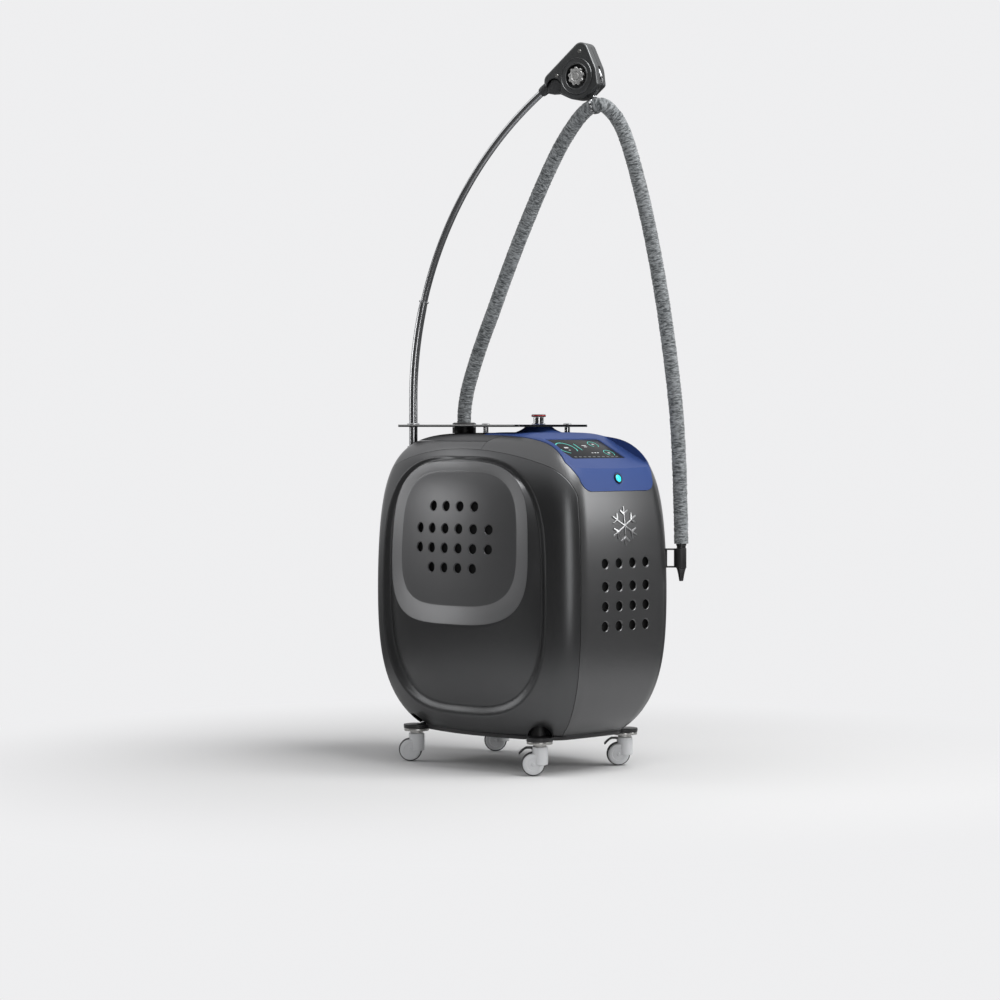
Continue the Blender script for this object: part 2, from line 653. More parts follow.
# %% Master form
HALF_WIDTH, HALF_DEPTH = 0.210, 0.300
WAIST, TOP_RISE, FOOT_DROP, FOOT = 0.360, 0.328, 0.315, 0.078
BARREL, TOP_POWER, FOOT_POWER = 0.09, 5.4, 3.75
FLANK_RADIUS, FRONT_RADIUS, CORNER_RADIUS = 0.700, 1.600, 0.070
BAND_HALF_WIDTH, FLARE_WIDTH, FLARE_START, FLARE_END = 0.124, 0.075, 0.560, 0.662
WALL = 0.003
SEAM = 0.0008

flank_centre = Vector((HALF_WIDTH - FLANK_RADIUS, 0))
front_centre = Vector((0, HALF_DEPTH - FRONT_RADIUS))
span = (front_centre - flank_centre).length
near, far = FLANK_RADIUS - CORNER_RADIUS, FRONT_RADIUS - CORNER_RADIUS
along_span = (near * near - far * far + span * span) / (2 * span)
unit = (front_centre - flank_centre) / span
aside = sqrt(near * near - along_span * along_span)
corner_centre = max((flank_centre + unit * along_span + Vector((-unit.y, unit.x)) * aside * way for way in (1, -1)),
                    key=lambda p: p.x + p.y)
toward_flank = corner_centre - flank_centre
toward_front = corner_centre - front_centre
flank_angle = atan(toward_flank.y / toward_flank.x)
front_angle = pi / 2 - atan(toward_front.x / toward_front.y)
flank_end = flank_centre + Vector((cos(flank_angle), sin(flank_angle))) * FLANK_RADIUS
corner_end = corner_centre + Vector((cos(front_angle), sin(front_angle))) * CORNER_RADIUS
print("corner arc from", tuple(round(v, 4) for v in flank_end), "to", tuple(round(v, 4) for v in corner_end))


# %% [markdown]
# Everything that lies on the cabinet asks this form where its skin is. Below are
# the questions: how wide it is at a height, which way it faces, and where the point
# of the front, of a flank or of the top is. The normal comes from small steps to
# either side, which is simpler than a formula for it and exact enough.

# %% Points of the form
def plan_x(y):
    """Half width of the waist outline at a distance y from the middle of the flank."""
    if y <= flank_end.y:
        return flank_centre.x + sqrt(FLANK_RADIUS ** 2 - y * y)
    if y <= corner_end.y:
        return corner_centre.x + sqrt(max(0.0, CORNER_RADIUS ** 2 - (y - corner_centre.y) ** 2))
    return sqrt(max(0.0, FRONT_RADIUS ** 2 - (y - front_centre.y) ** 2))


def plan_y(x):
    """Half depth of the waist outline at a distance x from the middle of the front."""
    if x <= corner_end.x:
        return front_centre.y + sqrt(FRONT_RADIUS ** 2 - x * x)
    if x <= flank_end.x:
        return corner_centre.y + sqrt(max(0.0, CORNER_RADIUS ** 2 - (x - corner_centre.x) ** 2))
    return sqrt(max(0.0, FLANK_RADIUS ** 2 - (x - flank_centre.x) ** 2))


def width_share(z):
    """How wide the plan is at a height, as a share of the waist."""
    rise = z - WAIST
    reach, power = (TOP_RISE, TOP_POWER) if rise > 0 else (FOOT_DROP, FOOT_POWER)
    u = min(abs(rise) / reach, 1.0)
    return (1 - BARREL * u * u) * (1 - u ** power) ** (1 / power)


def plan_share(x, y):
    """How large the waist outline has to be to pass through a point of the plan."""
    p = Vector((abs(x), abs(y)))
    if p.length_squared == 0:
        return 0.0
    if p.y * flank_end.x <= p.x * flank_end.y:
        centre, radius = flank_centre, FLANK_RADIUS
    elif p.y * corner_end.x <= p.x * corner_end.y:
        centre, radius = corner_centre, CORNER_RADIUS
    else:
        centre, radius = front_centre, FRONT_RADIUS
    reach = p.dot(centre)
    return p.length_squared / (reach + sqrt(reach * reach - p.length_squared * (centre.length_squared - radius ** 2)))


def outward(p):
    """Unit normal of the form at a point near its skin."""
    slopes = []
    for axis in range(3):
        step = Vector((0, 0, 0))
        step[axis] = 0.0005
        a, b = p + step, p - step
        slopes.append(plan_share(a.x, a.y) - width_share(a.z) - plan_share(b.x, b.y) + width_share(b.z))
    return Vector(slopes).normalized()


def front_point(x, z, lift=0.0):
    """Point on the front of the form; a lift moves it out along the normal."""
    share = width_share(z)
    p = Vector((x, -plan_y(abs(x) / share) * share, z))
    return p + outward(p) * lift if lift else p


def flank_point(side, y, z, lift=0.0):
    """Point on the left (-1) or right (1) flank of the form."""
    share = width_share(z)
    p = Vector((side * plan_x(abs(y) / share) * share, y, z))
    return p + outward(p) * lift if lift else p


def crown_height(x, y):
    """Height of the form's top over a point of the plan."""
    share, low, high = plan_share(x, y), WAIST, WAIST + TOP_RISE
    for _ in range(40):
        middle = (low + high) / 2
        low, high = (middle, high) if width_share(middle) > share else (low, middle)
    return low


def core_half_width(z):
    """Half width of the middle band, which flares out over the shoulders."""
    u = (z - FLARE_START) / (FLARE_END - FLARE_START)
    return BAND_HALF_WIDTH * width_share(z) + FLARE_WIDTH * max(u, 0.0) ** 1.5


print("waist front:", round(front_point(0, WAIST).y, 4), "top:", round(crown_height(0, 0), 4))

# %% [markdown]
# The front panel, rear panel, rear top cover and control cover are cut from one
# shell. It starts as a flat grid that is wrapped round the form: one direction of
# the grid runs round the plan, the other from the foot up to the middle of the
# top, where it closes. Solidify gives it its wall. A sphere squeezed to shape
# would do as well, but a grid puts its lines where the arcs meet.

# %% Shell
ARC_STEPS = (14, 16, 18)
RISE_STEPS = 60
FOOT_STEPS = 34
STRAIGHT_STEPS = 8
WELD = 0.00002
CLOSED_TOP = 0.001


def plan_stops():
    """Points round a quarter of the waist outline, from the flank to the front."""
    stops = []
    arcs = ((flank_centre, FLANK_RADIUS, 0.0, flank_angle), (corner_centre, CORNER_RADIUS, flank_angle, front_angle),
            (front_centre, FRONT_RADIUS, front_angle, pi / 2))
    for (centre, radius, first, last), steps in zip(arcs, ARC_STEPS):
        for i in range(steps):
            angle = first + (last - first) * i / steps
            stops.append((centre.x + radius * cos(angle), centre.y + radius * sin(angle)))
    return stops


def wrapped_ring():
    quarter = plan_stops()
    back = quarter[:0:-1]
    front, rear = (0.0, HALF_DEPTH), (0.0, -HALF_DEPTH)
    return (quarter + [front] + [(-x, y) for x, y in back] + [(-x, -y) for x, y in quarter] + [rear]
            + [(x, -y) for x, y in back])


def levels():
    """Heights with their share of the plan, from the foot to the top."""
    found = []
    lowest = (WAIST - FOOT) / FOOT_DROP
    turn = atan(lowest ** (FOOT_POWER / 2) / sqrt(1 - lowest ** FOOT_POWER))
    for i in range(FOOT_STEPS):
        u = sin(turn * (1 - i / FOOT_STEPS)) ** (2 / FOOT_POWER)
        z = WAIST - FOOT_DROP * u
        found.append((z, width_share(z)))
    for i in range(STRAIGHT_STEPS):
        u = i / STRAIGHT_STEPS * sin(pi / 2 / RISE_STEPS) ** (2 / TOP_POWER)
        found.append((WAIST + TOP_RISE * u, width_share(WAIST + TOP_RISE * u)))
    for i in range(1, RISE_STEPS + 1):
        t = pi / 2 * i / RISE_STEPS
        u = sin(t) ** (2 / TOP_POWER)
        found.append((WAIST + TOP_RISE * u, (1 - BARREL * u * u) * max(0.0, cos(t)) ** (2 / TOP_POWER)))
    return found


def pillow_skin(name, lift=0.0, drop=0.0):
    """The whole form as one sheet; a lift moves it outward, a drop lowers its foot."""
    ring, rows = wrapped_ring(), levels()

    def skin_point(column, row):
        x, y = ring[column % len(ring)]
        z, share = rows[row]
        p = Vector((x * share, y * share, z))
        p += (outward(p) if share > CLOSED_TOP else Vector((0, 0, 1))) * lift
        if p.z < FOOT + 0.004:
            p.z -= drop
        return p

    return wrapped_grid(name, len(ring), len(rows) - 1, skin_point)


def thickened(piece, wall, offset=-1):
    thick = piece.modifiers.new("wall", "SOLIDIFY")
    thick.thickness = wall
    thick.offset = offset
    return apply_all(piece)


body_shell = thickened(weld(pillow_skin("body_shell"), WELD), WALL)
bpy.ops.object.shade_smooth_by_angle(angle=radians(30))
print("shell faces:", len(body_shell.data.polygons))

# %% [markdown]
# Covers are cut by Booleans, with tools of two kinds: a `plate` is a flat outline
# with a thickness, a `turned` piece is a profile spun round an axis. The exact
# solver is slower than the fast one but keeps clean edges on curved skins.

# %% Cutting tools
AXES = {"Z": lambda a, b, c: (a, b, c), "Y": lambda a, b, c: (a, c, b), "X": lambda a, b, c: (c, a, b)}


def plate(name, outline, low, high, across="Z"):
    """A flat outline of (a, b) points with a thickness along one axis."""
    deselect()
    bpy.ops.mesh.primitive_circle_add(vertices=len(outline), radius=1, fill_type="NGON")
    made = new_piece(name)
    for v, (a, b) in zip(made.data.vertices, outline):
        v.co = AXES[across](a, b, low)
    bpy.ops.object.mode_set(mode="EDIT")
    bpy.ops.mesh.select_all(action="SELECT")
    bpy.ops.mesh.extrude_region_move(TRANSFORM_OT_translate={"value": AXES[across](0, 0, high - low)})
    return weld(made)


def turned(name, profile, sides=48, place=(0, 0, 0)):
    """A lathe shape: the profile of (radius, height) points is spun once round Z."""
    deselect()
    bpy.ops.mesh.primitive_plane_add(size=1)
    made = new_piece(name)
    mesh = bmesh.new()
    corners = [mesh.verts.new((r, 0, z)) for r, z in profile]
    for a, b in zip(corners, corners[1:]):
        mesh.edges.new((a, b))
    mesh.to_mesh(made.data)
    mesh.free()
    bpy.ops.object.mode_set(mode="EDIT")
    bpy.ops.mesh.select_all(action="SELECT")
    bpy.ops.mesh.spin(steps=sides, angle=2 * pi, center=(0, 0, 0), axis=(0, 0, 1), use_auto_merge=True)
    weld(made, 0.000005)
    made.data.transform(Matrix.Translation(place))
    return made


def hole_tool(name, radius, low, high, place=(0, 0, 0), sides=48):
    return turned(name, [(0.0, low), (radius, low), (radius, high), (0.0, high)], sides, place)


def rounded(left, right, low, high, radius, steps=8):
    """Outline of a rectangle with round corners, counter-clockwise."""
    points = []
    for x, y, start in ((right - radius, high - radius, 0), (left + radius, high - radius, 1),
                        (left + radius, low + radius, 2), (right - radius, low + radius, 3)):
        for i in range(steps + 1):
            angle = (start + i / steps) * pi / 2
            points.append((x + radius * cos(angle), y + radius * sin(angle)))
    return points


def facing(point, direction):
    """Frame at a point whose Z looks along a direction."""
    return Matrix.Translation(point) @ Vector(direction).to_track_quat("Z", "Y").to_matrix().to_4x4()


def boolean(piece, tool, operation):
    change = piece.modifiers.new(operation.lower(), "BOOLEAN")
    change.operation = operation
    change.solver = "EXACT"
    change.object = tool
    apply_all(piece)
    bpy.data.objects.remove(tool, do_unlink=True)
    return piece


def cut(piece, tool):
    return boolean(piece, tool, "DIFFERENCE")


def bevelled(piece, width, segments=3, angle=35):
    """Round the sharp edges of a piece."""
    soft = piece.modifiers.new("edges", "BEVEL")
    soft.width = width
    soft.segments = segments
    soft.limit_method = "ANGLE"
    soft.angle_limit = radians(angle)
    return apply_all(piece)


def copied(piece, name):
    twin = piece.copy()
    twin.data = piece.data.copy()
    twin.name = name
    twin.data.name = name
    bpy.context.scene.collection.objects.link(twin)
    return twin


def joined(pieces, name):
    deselect()
    for piece in pieces:
        piece.select_set(True)
    bpy.context.view_layer.objects.active = pieces[0]
    bpy.ops.object.join()
    return new_piece(name)


print("tools ready")

# %% [markdown]
# A Boolean leaves long, thin and crowded faces round each cut, and smooth shading
# smears over them. The uncut shell has no such faces. So each corner of a cut
# cover takes the normal of the nearest place on the uncut one, wherever the two
# surfaces still agree. Cutting a much finer mesh would hide the smears too, but it
# would be many times heavier.

# %% Shading from the uncut form
from mathutils.bvhtree import BVHTree
from mathutils.interpolate import poly_3d_calc

SAME_SKIN, SAME_WAY, INTO_FACE = 0.0004, 0.9, 0.02


def keep_shading(piece, source):
    """Shade the large surfaces of a cut piece as on its uncut source."""
    mesh, uncut = piece.data, source.data
    places = [v.co for v in uncut.vertices]
    finder = BVHTree.FromPolygons(places, [face.vertices[:] for face in uncut.polygons])
    normals = [corner.vector.copy() for corner in mesh.corner_normals]
    for face in mesh.polygons:
        for loop in face.loop_indices:
            co = mesh.vertices[mesh.loops[loop].vertex_index].co
            place, normal, index, distance = finder.find_nearest(co.lerp(face.center, INTO_FACE))
            if distance > SAME_SKIN or normal.dot(face.normal) < SAME_WAY:
                continue
            near = uncut.polygons[index]
            weights = poly_3d_calc([places[k] for k in near.vertices], place)
            blend = Vector((0, 0, 0))
            for weight, corner in zip(weights, near.loop_indices):
                blend += uncut.corner_normals[corner].vector * weight
            normals[loop] = blend.normalized()
    mesh.normals_split_custom_set(normals)


print("shading helper ready")

# %% [markdown]
# The middle band of the cabinet is seen from the front as one outline, narrow at
# the foot and flared over the shoulders. Everything inside it belongs to the front
# panel, the rear panel, the rear top cover and the control cover, and what lies
# outside it to the two side covers. Each of these outlines is a plate that runs
# right through the shell, and a Boolean keeps or takes away what they share. The
# outlines are moved by half a seam, which leaves the fine dark line between covers.

# %% Band and control outlines
BAND_FOOT = 0.060
TOP_OF_ALL, FRONT_OF_ALL, SIDE_OF_ALL = 0.760, 0.36, 0.26
CONTROL_HALF_WIDTH, CONTROL_WAIST_HALF_WIDTH = 0.107, 0.122
CONTROL_FOOT, CONTROL_WAIST, CONTROL_BACK = 0.5715, 0.630, -0.012
CONTROL_CORNER, CORNER_STEPS = 0.026, 12
SHOULDER_SEAM = -0.052
TOP_COVER_EDGE, TOP_COVER_RAKE = 0.671, 0.022


def mirrored_outline(half):
    return half + [(-x, z) for x, z in reversed(half)]


def band_tool(grow):
    heights = [BAND_FOOT + 0.010 * i for i in range(50)] + [FLARE_START + 0.006 * i for i in range(19)]
    half = [(core_half_width(z) + grow, z) for z in heights]
    half.append((half[-1][0] + 0.05, TOP_OF_ALL))
    return plate("band_tool", mirrored_outline(half), -FRONT_OF_ALL, FRONT_OF_ALL, "Y")


def control_tool(grow):
    half_width, waist = CONTROL_HALF_WIDTH + grow, CONTROL_WAIST_HALF_WIDTH + grow
    box = rounded(-half_width, half_width, CONTROL_FOOT - grow, CONTROL_WAIST, CONTROL_CORNER, CORNER_STEPS)
    foot = box[2 * (CORNER_STEPS + 1):]
    outline = mirrored_outline([(waist, CONTROL_WAIST), (half_width, TOP_OF_ALL)]) + foot
    return plate("control_tool", outline, -FRONT_OF_ALL, CONTROL_BACK + grow, "Y")


def top_cover_tool(grow):
    edge, front = TOP_COVER_EDGE - grow, SHOULDER_SEAM - grow
    rake = TOP_COVER_RAKE / (WAIST + TOP_RISE - TOP_COVER_EDGE)
    outline = [(front, edge), (FRONT_OF_ALL, edge), (FRONT_OF_ALL, TOP_OF_ALL),
               (front - (TOP_OF_ALL - edge) * rake, TOP_OF_ALL)]
    return plate("top_cover_tool", outline, -SIDE_OF_ALL, SIDE_OF_ALL, "X")


def box_tool(low_y, high_y):
    box = [(-SIDE_OF_ALL, 0.0), (SIDE_OF_ALL, 0.0), (SIDE_OF_ALL, TOP_OF_ALL), (-SIDE_OF_ALL, TOP_OF_ALL)]
    return plate("box_tool", box, low_y, high_y, "Y")


print("outlines ready")

# %% [markdown]
# Each vent is a round hole with a countersunk rim that catches the light on its
# lower edge. One tool has the hole's cylinder and the cone of its rim, made from a
# disc by extruding and resizing. It is copied to every vent of a cover, at the
# depth where the cover's skin is, and the copies are joined so that a single
# Boolean cuts them all, which is quicker than one Boolean for each.

# %% Vent tool
VENT_RADIUS = 0.0098
VENT_RIM = 0.0120
VENT_PITCH, VENT_FIRST_PITCH = 0.040, 0.046
RIM_STEP = 1.06


def vent_places(counts, top):
    places = []
    z = top
    for row, count in enumerate(counts):
        places += [((i - (count - 1) / 2) * VENT_PITCH, z) for i in range(count)]
        z -= VENT_FIRST_PITCH if row == 0 else VENT_PITCH
    return places


def vent_tool(name):
    """One hole with its rim; its local Z points out of the cover, the skin is at zero."""
    deselect()
    bpy.ops.mesh.primitive_circle_add(vertices=32, radius=VENT_RADIUS, fill_type="NGON", location=(0, 0, -0.02))
    made = place_in_mesh(new_piece(name))
    bpy.ops.object.mode_set(mode="EDIT")
    bpy.ops.mesh.select_all(action="SELECT")
    for rise, grow in ((0.0184, 1.0), (0.0009, RIM_STEP), (0.0009, VENT_RIM / VENT_RADIUS / RIM_STEP), (0.02, 1.3)):
        bpy.ops.mesh.extrude_region_move(TRANSFORM_OT_translate={"value": (0, 0, rise)})
        bpy.ops.transform.resize(value=(grow, grow, 1), center_override=(0, 0, 0))
    return weld(made)


def cut_vents(cover, frames):
    """Cut a vent at each frame, all in one go."""
    first = vent_tool("vent")
    copies = [copied(first, "vent" + str(i)) for i in range(len(frames))]
    for one, place in zip(copies, frames):
        one.data.transform(place)
    bpy.data.objects.remove(first, do_unlink=True)
    return cut(cover, joined(copies, "vents"))


print("vents per side:", len(vent_places((4, 6, 6, 4), 0.540)))

# %% [markdown]
# Now the three grey covers of the band. The front panel loses what belongs to the
# control cover and the rear, the rear panel is cut for the power inlet and the
# pole's socket, and the dark top cover for the hose collar. The inner wall of each
# cover gets a black finish, as a foam lining has, so that no light shows through.

# %% Front panel, rear panel and rear top cover
PANEL_VENTS = (4, 4, 4, 4)
FRONT_VENTS_TOP, REAR_VENTS_TOP = 0.428, 0.520
INWARD = -0.3
HOSE_Y = 0.166
POLE = Vector((-0.080, 0.238, 0))


def line_with_black(piece):
    """Give the faces of a cover's inner wall the black inside finish."""
    piece.data.materials.append(inside_black)
    for face in piece.data.polygons:
        if face.normal.dot(outward(face.center)) < INWARD:
            face.material_index = 1


def finish_cover(piece, finish, node, slot, lined=True):
    finish_piece(piece, finish, "cabinet", 30)
    keep_shading(piece, body_shell)
    if lined:
        line_with_black(piece)
    stand_in(piece, node, slot)
    print(piece.name, "faces:", len(piece.data.polygons))


front_cover = boolean(copied(body_shell, "front_cover"), band_tool(-SEAM / 2), "INTERSECT")
for tool in (control_tool(SEAM / 2), box_tool(SHOULDER_SEAM - SEAM / 2, FRONT_OF_ALL), top_cover_tool(SEAM / 2)):
    cut(front_cover, tool)
cut_vents(front_cover, [facing(front_point(x, z), (0, -1, 0)) for x, z in vent_places(PANEL_VENTS, FRONT_VENTS_TOP)])
finish_cover(front_cover, panel_paint, "front_panel", "silver_grey_plastic")

rear_cover = boolean(copied(body_shell, "rear_cover"), band_tool(-SEAM / 2), "INTERSECT")
for tool in (box_tool(-FRONT_OF_ALL, SHOULDER_SEAM + SEAM / 2), top_cover_tool(SEAM / 2)):
    cut(rear_cover, tool)
cut_vents(rear_cover, [facing((x, -front_point(x, z).y, z), (0, 1, 0))
                       for x, z in vent_places(PANEL_VENTS, REAR_VENTS_TOP)])
cut(rear_cover, plate("inlet_tool", rounded(-0.0238, 0.0238, 0.1947, 0.2553, 0.0033, 4), 0.20, 0.35, "Y"))
cut(rear_cover, hole_tool("socket_tool", 0.0140, 0.56, 0.705, POLE))
finish_cover(rear_cover, panel_paint, "rear_panel", "silver_grey_plastic")

top_cover = boolean(copied(body_shell, "top_cover_rear"), top_cover_tool(-SEAM / 2), "INTERSECT")
cut(top_cover, control_tool(SEAM / 2))
cut(top_cover, hole_tool("collar_tool", 0.0204, 0.60, 0.72, (0, HOSE_Y, 0)))
finish_cover(top_cover, dark_plastic, "rear_top_cover", "dark_grey_plastic", lined=False)

# %% [markdown]
# The blue control cover follows the form, stands 1.2 mm proud of it, and is cut
# flat where the screen's bench slopes down to the front, between two low side
# walls. It also rises in a smooth foot round the stop button. The bench is a
# plane, so a Boolean with one block makes it, with round edges for the fillets.
# The foot is a lathe shape joined on top, and a second, smaller pillow hollows the
# cover out. The screen's opening has a chamfer, and the power button sits in a
# shallow dish. Sculpting the cover from one mesh would be softer, but less exact.

# %% Places on the control cover
CONTROL_PROUD = 0.0012
SIDE_WALL, BENCH_FILLET = 0.006, 0.0080
BENCH_FRONT, BENCH_HEIGHT, BENCH_SLOPE = -0.262, 0.620, radians(26)
SCREEN_Y = -0.187
STOP_Y = -0.054
BUTTON_HEIGHT = 0.5965

BENCH_RISE = sin(BENCH_SLOPE) / cos(BENCH_SLOPE)
bench_place = (Matrix.Translation((0, SCREEN_Y, BENCH_HEIGHT + (SCREEN_Y - BENCH_FRONT) * BENCH_RISE))
               @ Matrix.Rotation(BENCH_SLOPE, 4, "X"))
button_point = Vector((0, -HALF_DEPTH * width_share(BUTTON_HEIGHT), BUTTON_HEIGHT))
button_place = facing(button_point + outward(button_point) * CONTROL_PROUD, outward(button_point))
print("middle of the screen:", tuple(round(v, 4) for v in bench_place.translation))


# %% Body of the control cover
def closed_pillow(name, lift, drop=0.0):
    return weld(pillow_skin(name, lift, drop), WELD, fill=True)


def bench_tool(drop):
    """What lies above the bench, less a drop along its normal."""
    sink = drop / cos(BENCH_SLOPE)
    front, back = BENCH_FRONT - 0.05, CONTROL_BACK
    low, high = (BENCH_HEIGHT + (y - BENCH_FRONT) * BENCH_RISE - sink for y in (front, back))
    outline = [(front, low), (back, high), (back, high + 0.05), (front, high + 0.05)]
    return plate("bench_tool", outline, -SIDE_OF_ALL, SIDE_OF_ALL, "X")


control = closed_pillow("control_shell", CONTROL_PROUD)
bench_room = boolean(bench_tool(0.0), control_tool(-SEAM / 2 - SIDE_WALL), "INTERSECT")
cut(control, bevelled(bench_room, BENCH_FILLET, 6))
boolean(control, control_tool(-SEAM / 2), "INTERSECT")
cut(control, cut(closed_pillow("hollow_tool", CONTROL_PROUD - WALL, 0.05), bench_tool(WALL)))
foot_profile = [(0.0, -0.012), (0.0620, -0.012), (0.0620, 0.0), (0.0530, 0.0035), (0.0450, 0.0062), (0.0390, 0.0088),
                (0.0340, 0.0116), (0.0302, 0.0144), (0.0278, 0.0170), (0.0268, 0.0192), (0.0265, 0.0210), (0.0, 0.0210)]
foot = boolean(turned("foot_tool", foot_profile, 72, (0, STOP_Y, 0.684)), control_tool(-SEAM / 2), "INTERSECT")
boolean(control, foot, "UNION")
print("control cover faces:", len(control.data.polygons))

# %% Openings of the control cover
SCREEN_HALF_WIDE, SCREEN_HALF_TALL = 0.0778, 0.0435
CHAMFER_WIDE, CHAMFER_TALL = 1.066, 1.118


def opening_tool(name, grow, low, high):
    outline = rounded(-SCREEN_HALF_WIDE - grow, SCREEN_HALF_WIDE + grow, -SCREEN_HALF_TALL - grow,
                      SCREEN_HALF_TALL + grow, 0.0043 + grow, 6)
    return plate(name, outline, low, high)


cut(control, hole_tool("bore_tool", 0.0113, 0.60, 0.71, (0, STOP_Y, 0)))
opening = opening_tool("opening_tool", 0.0, -0.05, 0.05)
opening.data.transform(bench_place)
cut(control, opening)
chamfer = opening_tool("chamfer_tool", 0.0002, -0.0016, 0.0040)
for v in chamfer.data.vertices:
    if v.co.z > 0:
        v.co.x *= CHAMFER_WIDE
        v.co.y *= CHAMFER_TALL
chamfer.data.transform(bench_place)
cut(control, chamfer)
dish = turned("button_tool", [(0.0, -0.05), (0.0108, -0.05), (0.0108, -0.0014), (0.0118, -0.0013), (0.0150, 0.0004),
                              (0.0190, 0.02), (0.0, 0.02)], 64)
dish.data.transform(button_place)
cut(control, dish)
finish_piece(control, blue_plastic, "cabinet", 30)
stand_in(control, "control_cover", "blue_plastic")
print("control cover faces:", len(control.data.polygons))
bpy.data.objects.remove(body_shell, do_unlink=True)

# %% [markdown]
# Each side cover is a tray on the flank of the pillow: a flat dished panel with the
# vents, a sloping ring round it, a moat that deepens towards the foot, and a crisp
# rim. Its outlines are rounded squares of different proportions, so no revolve
# gives it. It is a grid in polar form instead: one direction runs round the flank,
# the other from the panel's middle out to the seam. Distances are measured along
# the waist, because the flank bends round the corners.

# %% Runs along the waist
FLANK_LENGTH = FLANK_RADIUS * flank_angle
CORNER_LENGTH = CORNER_RADIUS * (front_angle - flank_angle)


def form_point(run, z, side, lift=0.0):
    """Point of the form a distance along the waist from the middle of a flank."""
    reach = abs(run)
    if reach <= FLANK_LENGTH:
        centre, radius, angle = flank_centre, FLANK_RADIUS, reach / FLANK_RADIUS
    elif reach <= FLANK_LENGTH + CORNER_LENGTH:
        centre, radius, angle = corner_centre, CORNER_RADIUS, flank_angle + (reach - FLANK_LENGTH) / CORNER_RADIUS
    else:
        centre, radius = front_centre, FRONT_RADIUS
        angle = front_angle + (reach - FLANK_LENGTH - CORNER_LENGTH) / FRONT_RADIUS
    share = width_share(z)
    y = (centre.y + radius * sin(angle)) * share
    p = Vector((side * (centre.x + radius * cos(angle)) * share, y if run > 0 else -y, z))
    return p + outward(p) * lift if lift else p


def seam_run(z):
    """Run at which the side cover meets the middle band."""
    x = (core_half_width(z) + SEAM / 2) / width_share(z)
    if x >= HALF_WIDTH:
        return 0.0
    if x > flank_end.x:
        return FLANK_RADIUS * acos(min(1.0, (x - flank_centre.x) / FLANK_RADIUS))
    if x > corner_end.x:
        return FLANK_LENGTH + CORNER_RADIUS * (acos((x - corner_centre.x) / CORNER_RADIUS) - flank_angle)
    return FLANK_LENGTH + CORNER_LENGTH + FRONT_RADIUS * (acos((x - front_centre.x) / FRONT_RADIUS) - front_angle)


print("seam run at the waist:", round(seam_run(WAIST), 4))

# %% [markdown]
# The outlines of panel, lip, moat and rim are squircles, squares with very round
# corners. Each has its own width, height and middle, so the rays from one hub meet
# them at different distances. Halving a step many times finds these places without
# solving an equation. Where the surface bends sharply, the rings lie closer
# together, so the edge is crisp but not razor sharp.

# %% Outlines of the side cover
HUB = 0.440
PANEL, PANEL_DEPTH = (0.172, 0.138, 0.475), 0.0080
LIP, LIP_DEPTH = (0.202, 0.1655, 0.4655), 0.0015
MOAT, MOAT_DEPTH = (0.226, 0.251, 0.383), 0.0135
RIM = (0.245, 0.266, 0.376)
SQUIRCLE = 3.6
FOOT_TURNS, OTHER_TURNS = 52, 168
EDGE_ROUNDING = 0.0005
TO_PANEL = (0, 0.15, 0.3, 0.45, 0.6, 0.72, 0.82, 0.89, 0.94, 0.975, 1)
EASED = (0.04, 0.09, 0.17, 0.29, 0.43, 0.57, 0.71, 0.83, 0.91, 0.96, 1.0)
TO_SEAM = (0.02, 0.05, 0.1, 0.18, 0.27, 0.37, 0.47, 0.57, 0.67, 0.77, 0.86, 0.93, 0.975, 0.994)


def along_ray(angle, inside):
    """The farthest point on a ray from the hub that still passes a test."""
    low, high = 0.0, 0.9
    for _ in range(44):
        middle = (low + high) / 2
        low, high = (middle, high) if inside(middle * cos(angle), HUB + middle * sin(angle)) else (low, middle)
    return low * cos(angle), HUB + low * sin(angle)


def squircle(size, angle):
    wide, tall, middle = size
    return along_ray(angle, lambda run, z: (abs(run) / wide) ** SQUIRCLE + (abs(z - middle) / tall) ** SQUIRCLE < 1)


def cover_edge(angle):
    return along_ray(angle, lambda run, z: FOOT <= z < FLARE_END and abs(run) <= seam_run(z))


def turns():
    """Angles round the hub, with one in each lower corner of the cover."""
    corner = atan2(HUB - FOOT, seam_run(FOOT))
    foot = [-corner - (pi - 2 * corner) * i / FOOT_TURNS for i in range(FOOT_TURNS)]
    return foot + [pi + corner - (pi + 2 * corner) * i / OTHER_TURNS for i in range(OTHER_TURNS)]


def spoke(angle):
    """One ray of the cover, from the hub to the seam, as (run, z, depth)."""
    panel, lip, moat, rim = (squircle(size, angle) for size in (PANEL, LIP, MOAT, RIM))
    edge = cover_edge(angle)
    deep = LIP_DEPTH + (MOAT_DEPTH - LIP_DEPTH) * sqrt((1 - sin(angle)) / 2)
    found = []

    def stretch(a, b, shares, depth):
        for t in shares:
            found.append((a[0] + (b[0] - a[0]) * t, a[1] + (b[1] - a[1]) * t, depth(t)))

    stretch((0.0, HUB), panel, TO_PANEL, lambda t: PANEL_DEPTH)
    stretch(panel, lip, EASED, lambda t: PANEL_DEPTH + (LIP_DEPTH - PANEL_DEPTH) * t)
    stretch(lip, moat, EASED, lambda t: LIP_DEPTH + (deep - LIP_DEPTH) * t)
    stretch(moat, rim, EASED, lambda t: deep * (1 - t * t * (3 - 2 * t)))
    stretch(rim, edge, TO_SEAM, lambda t: 0.0)
    stretch(rim, edge, (1,), lambda t: EDGE_ROUNDING)
    return found


print("points along a spoke:", len(spoke(0.3)))

# %% [markdown]
# The tray gets its wall from Solidify, the vents, and a half round notch above each
# caster. One cover is made and the other is its mirror image. Each face of the grid
# remembers in an attribute whether it lies in the pad, in the ring or outside them,
# and the Booleans keep that, so the two lighter finishes follow the grid's rings.

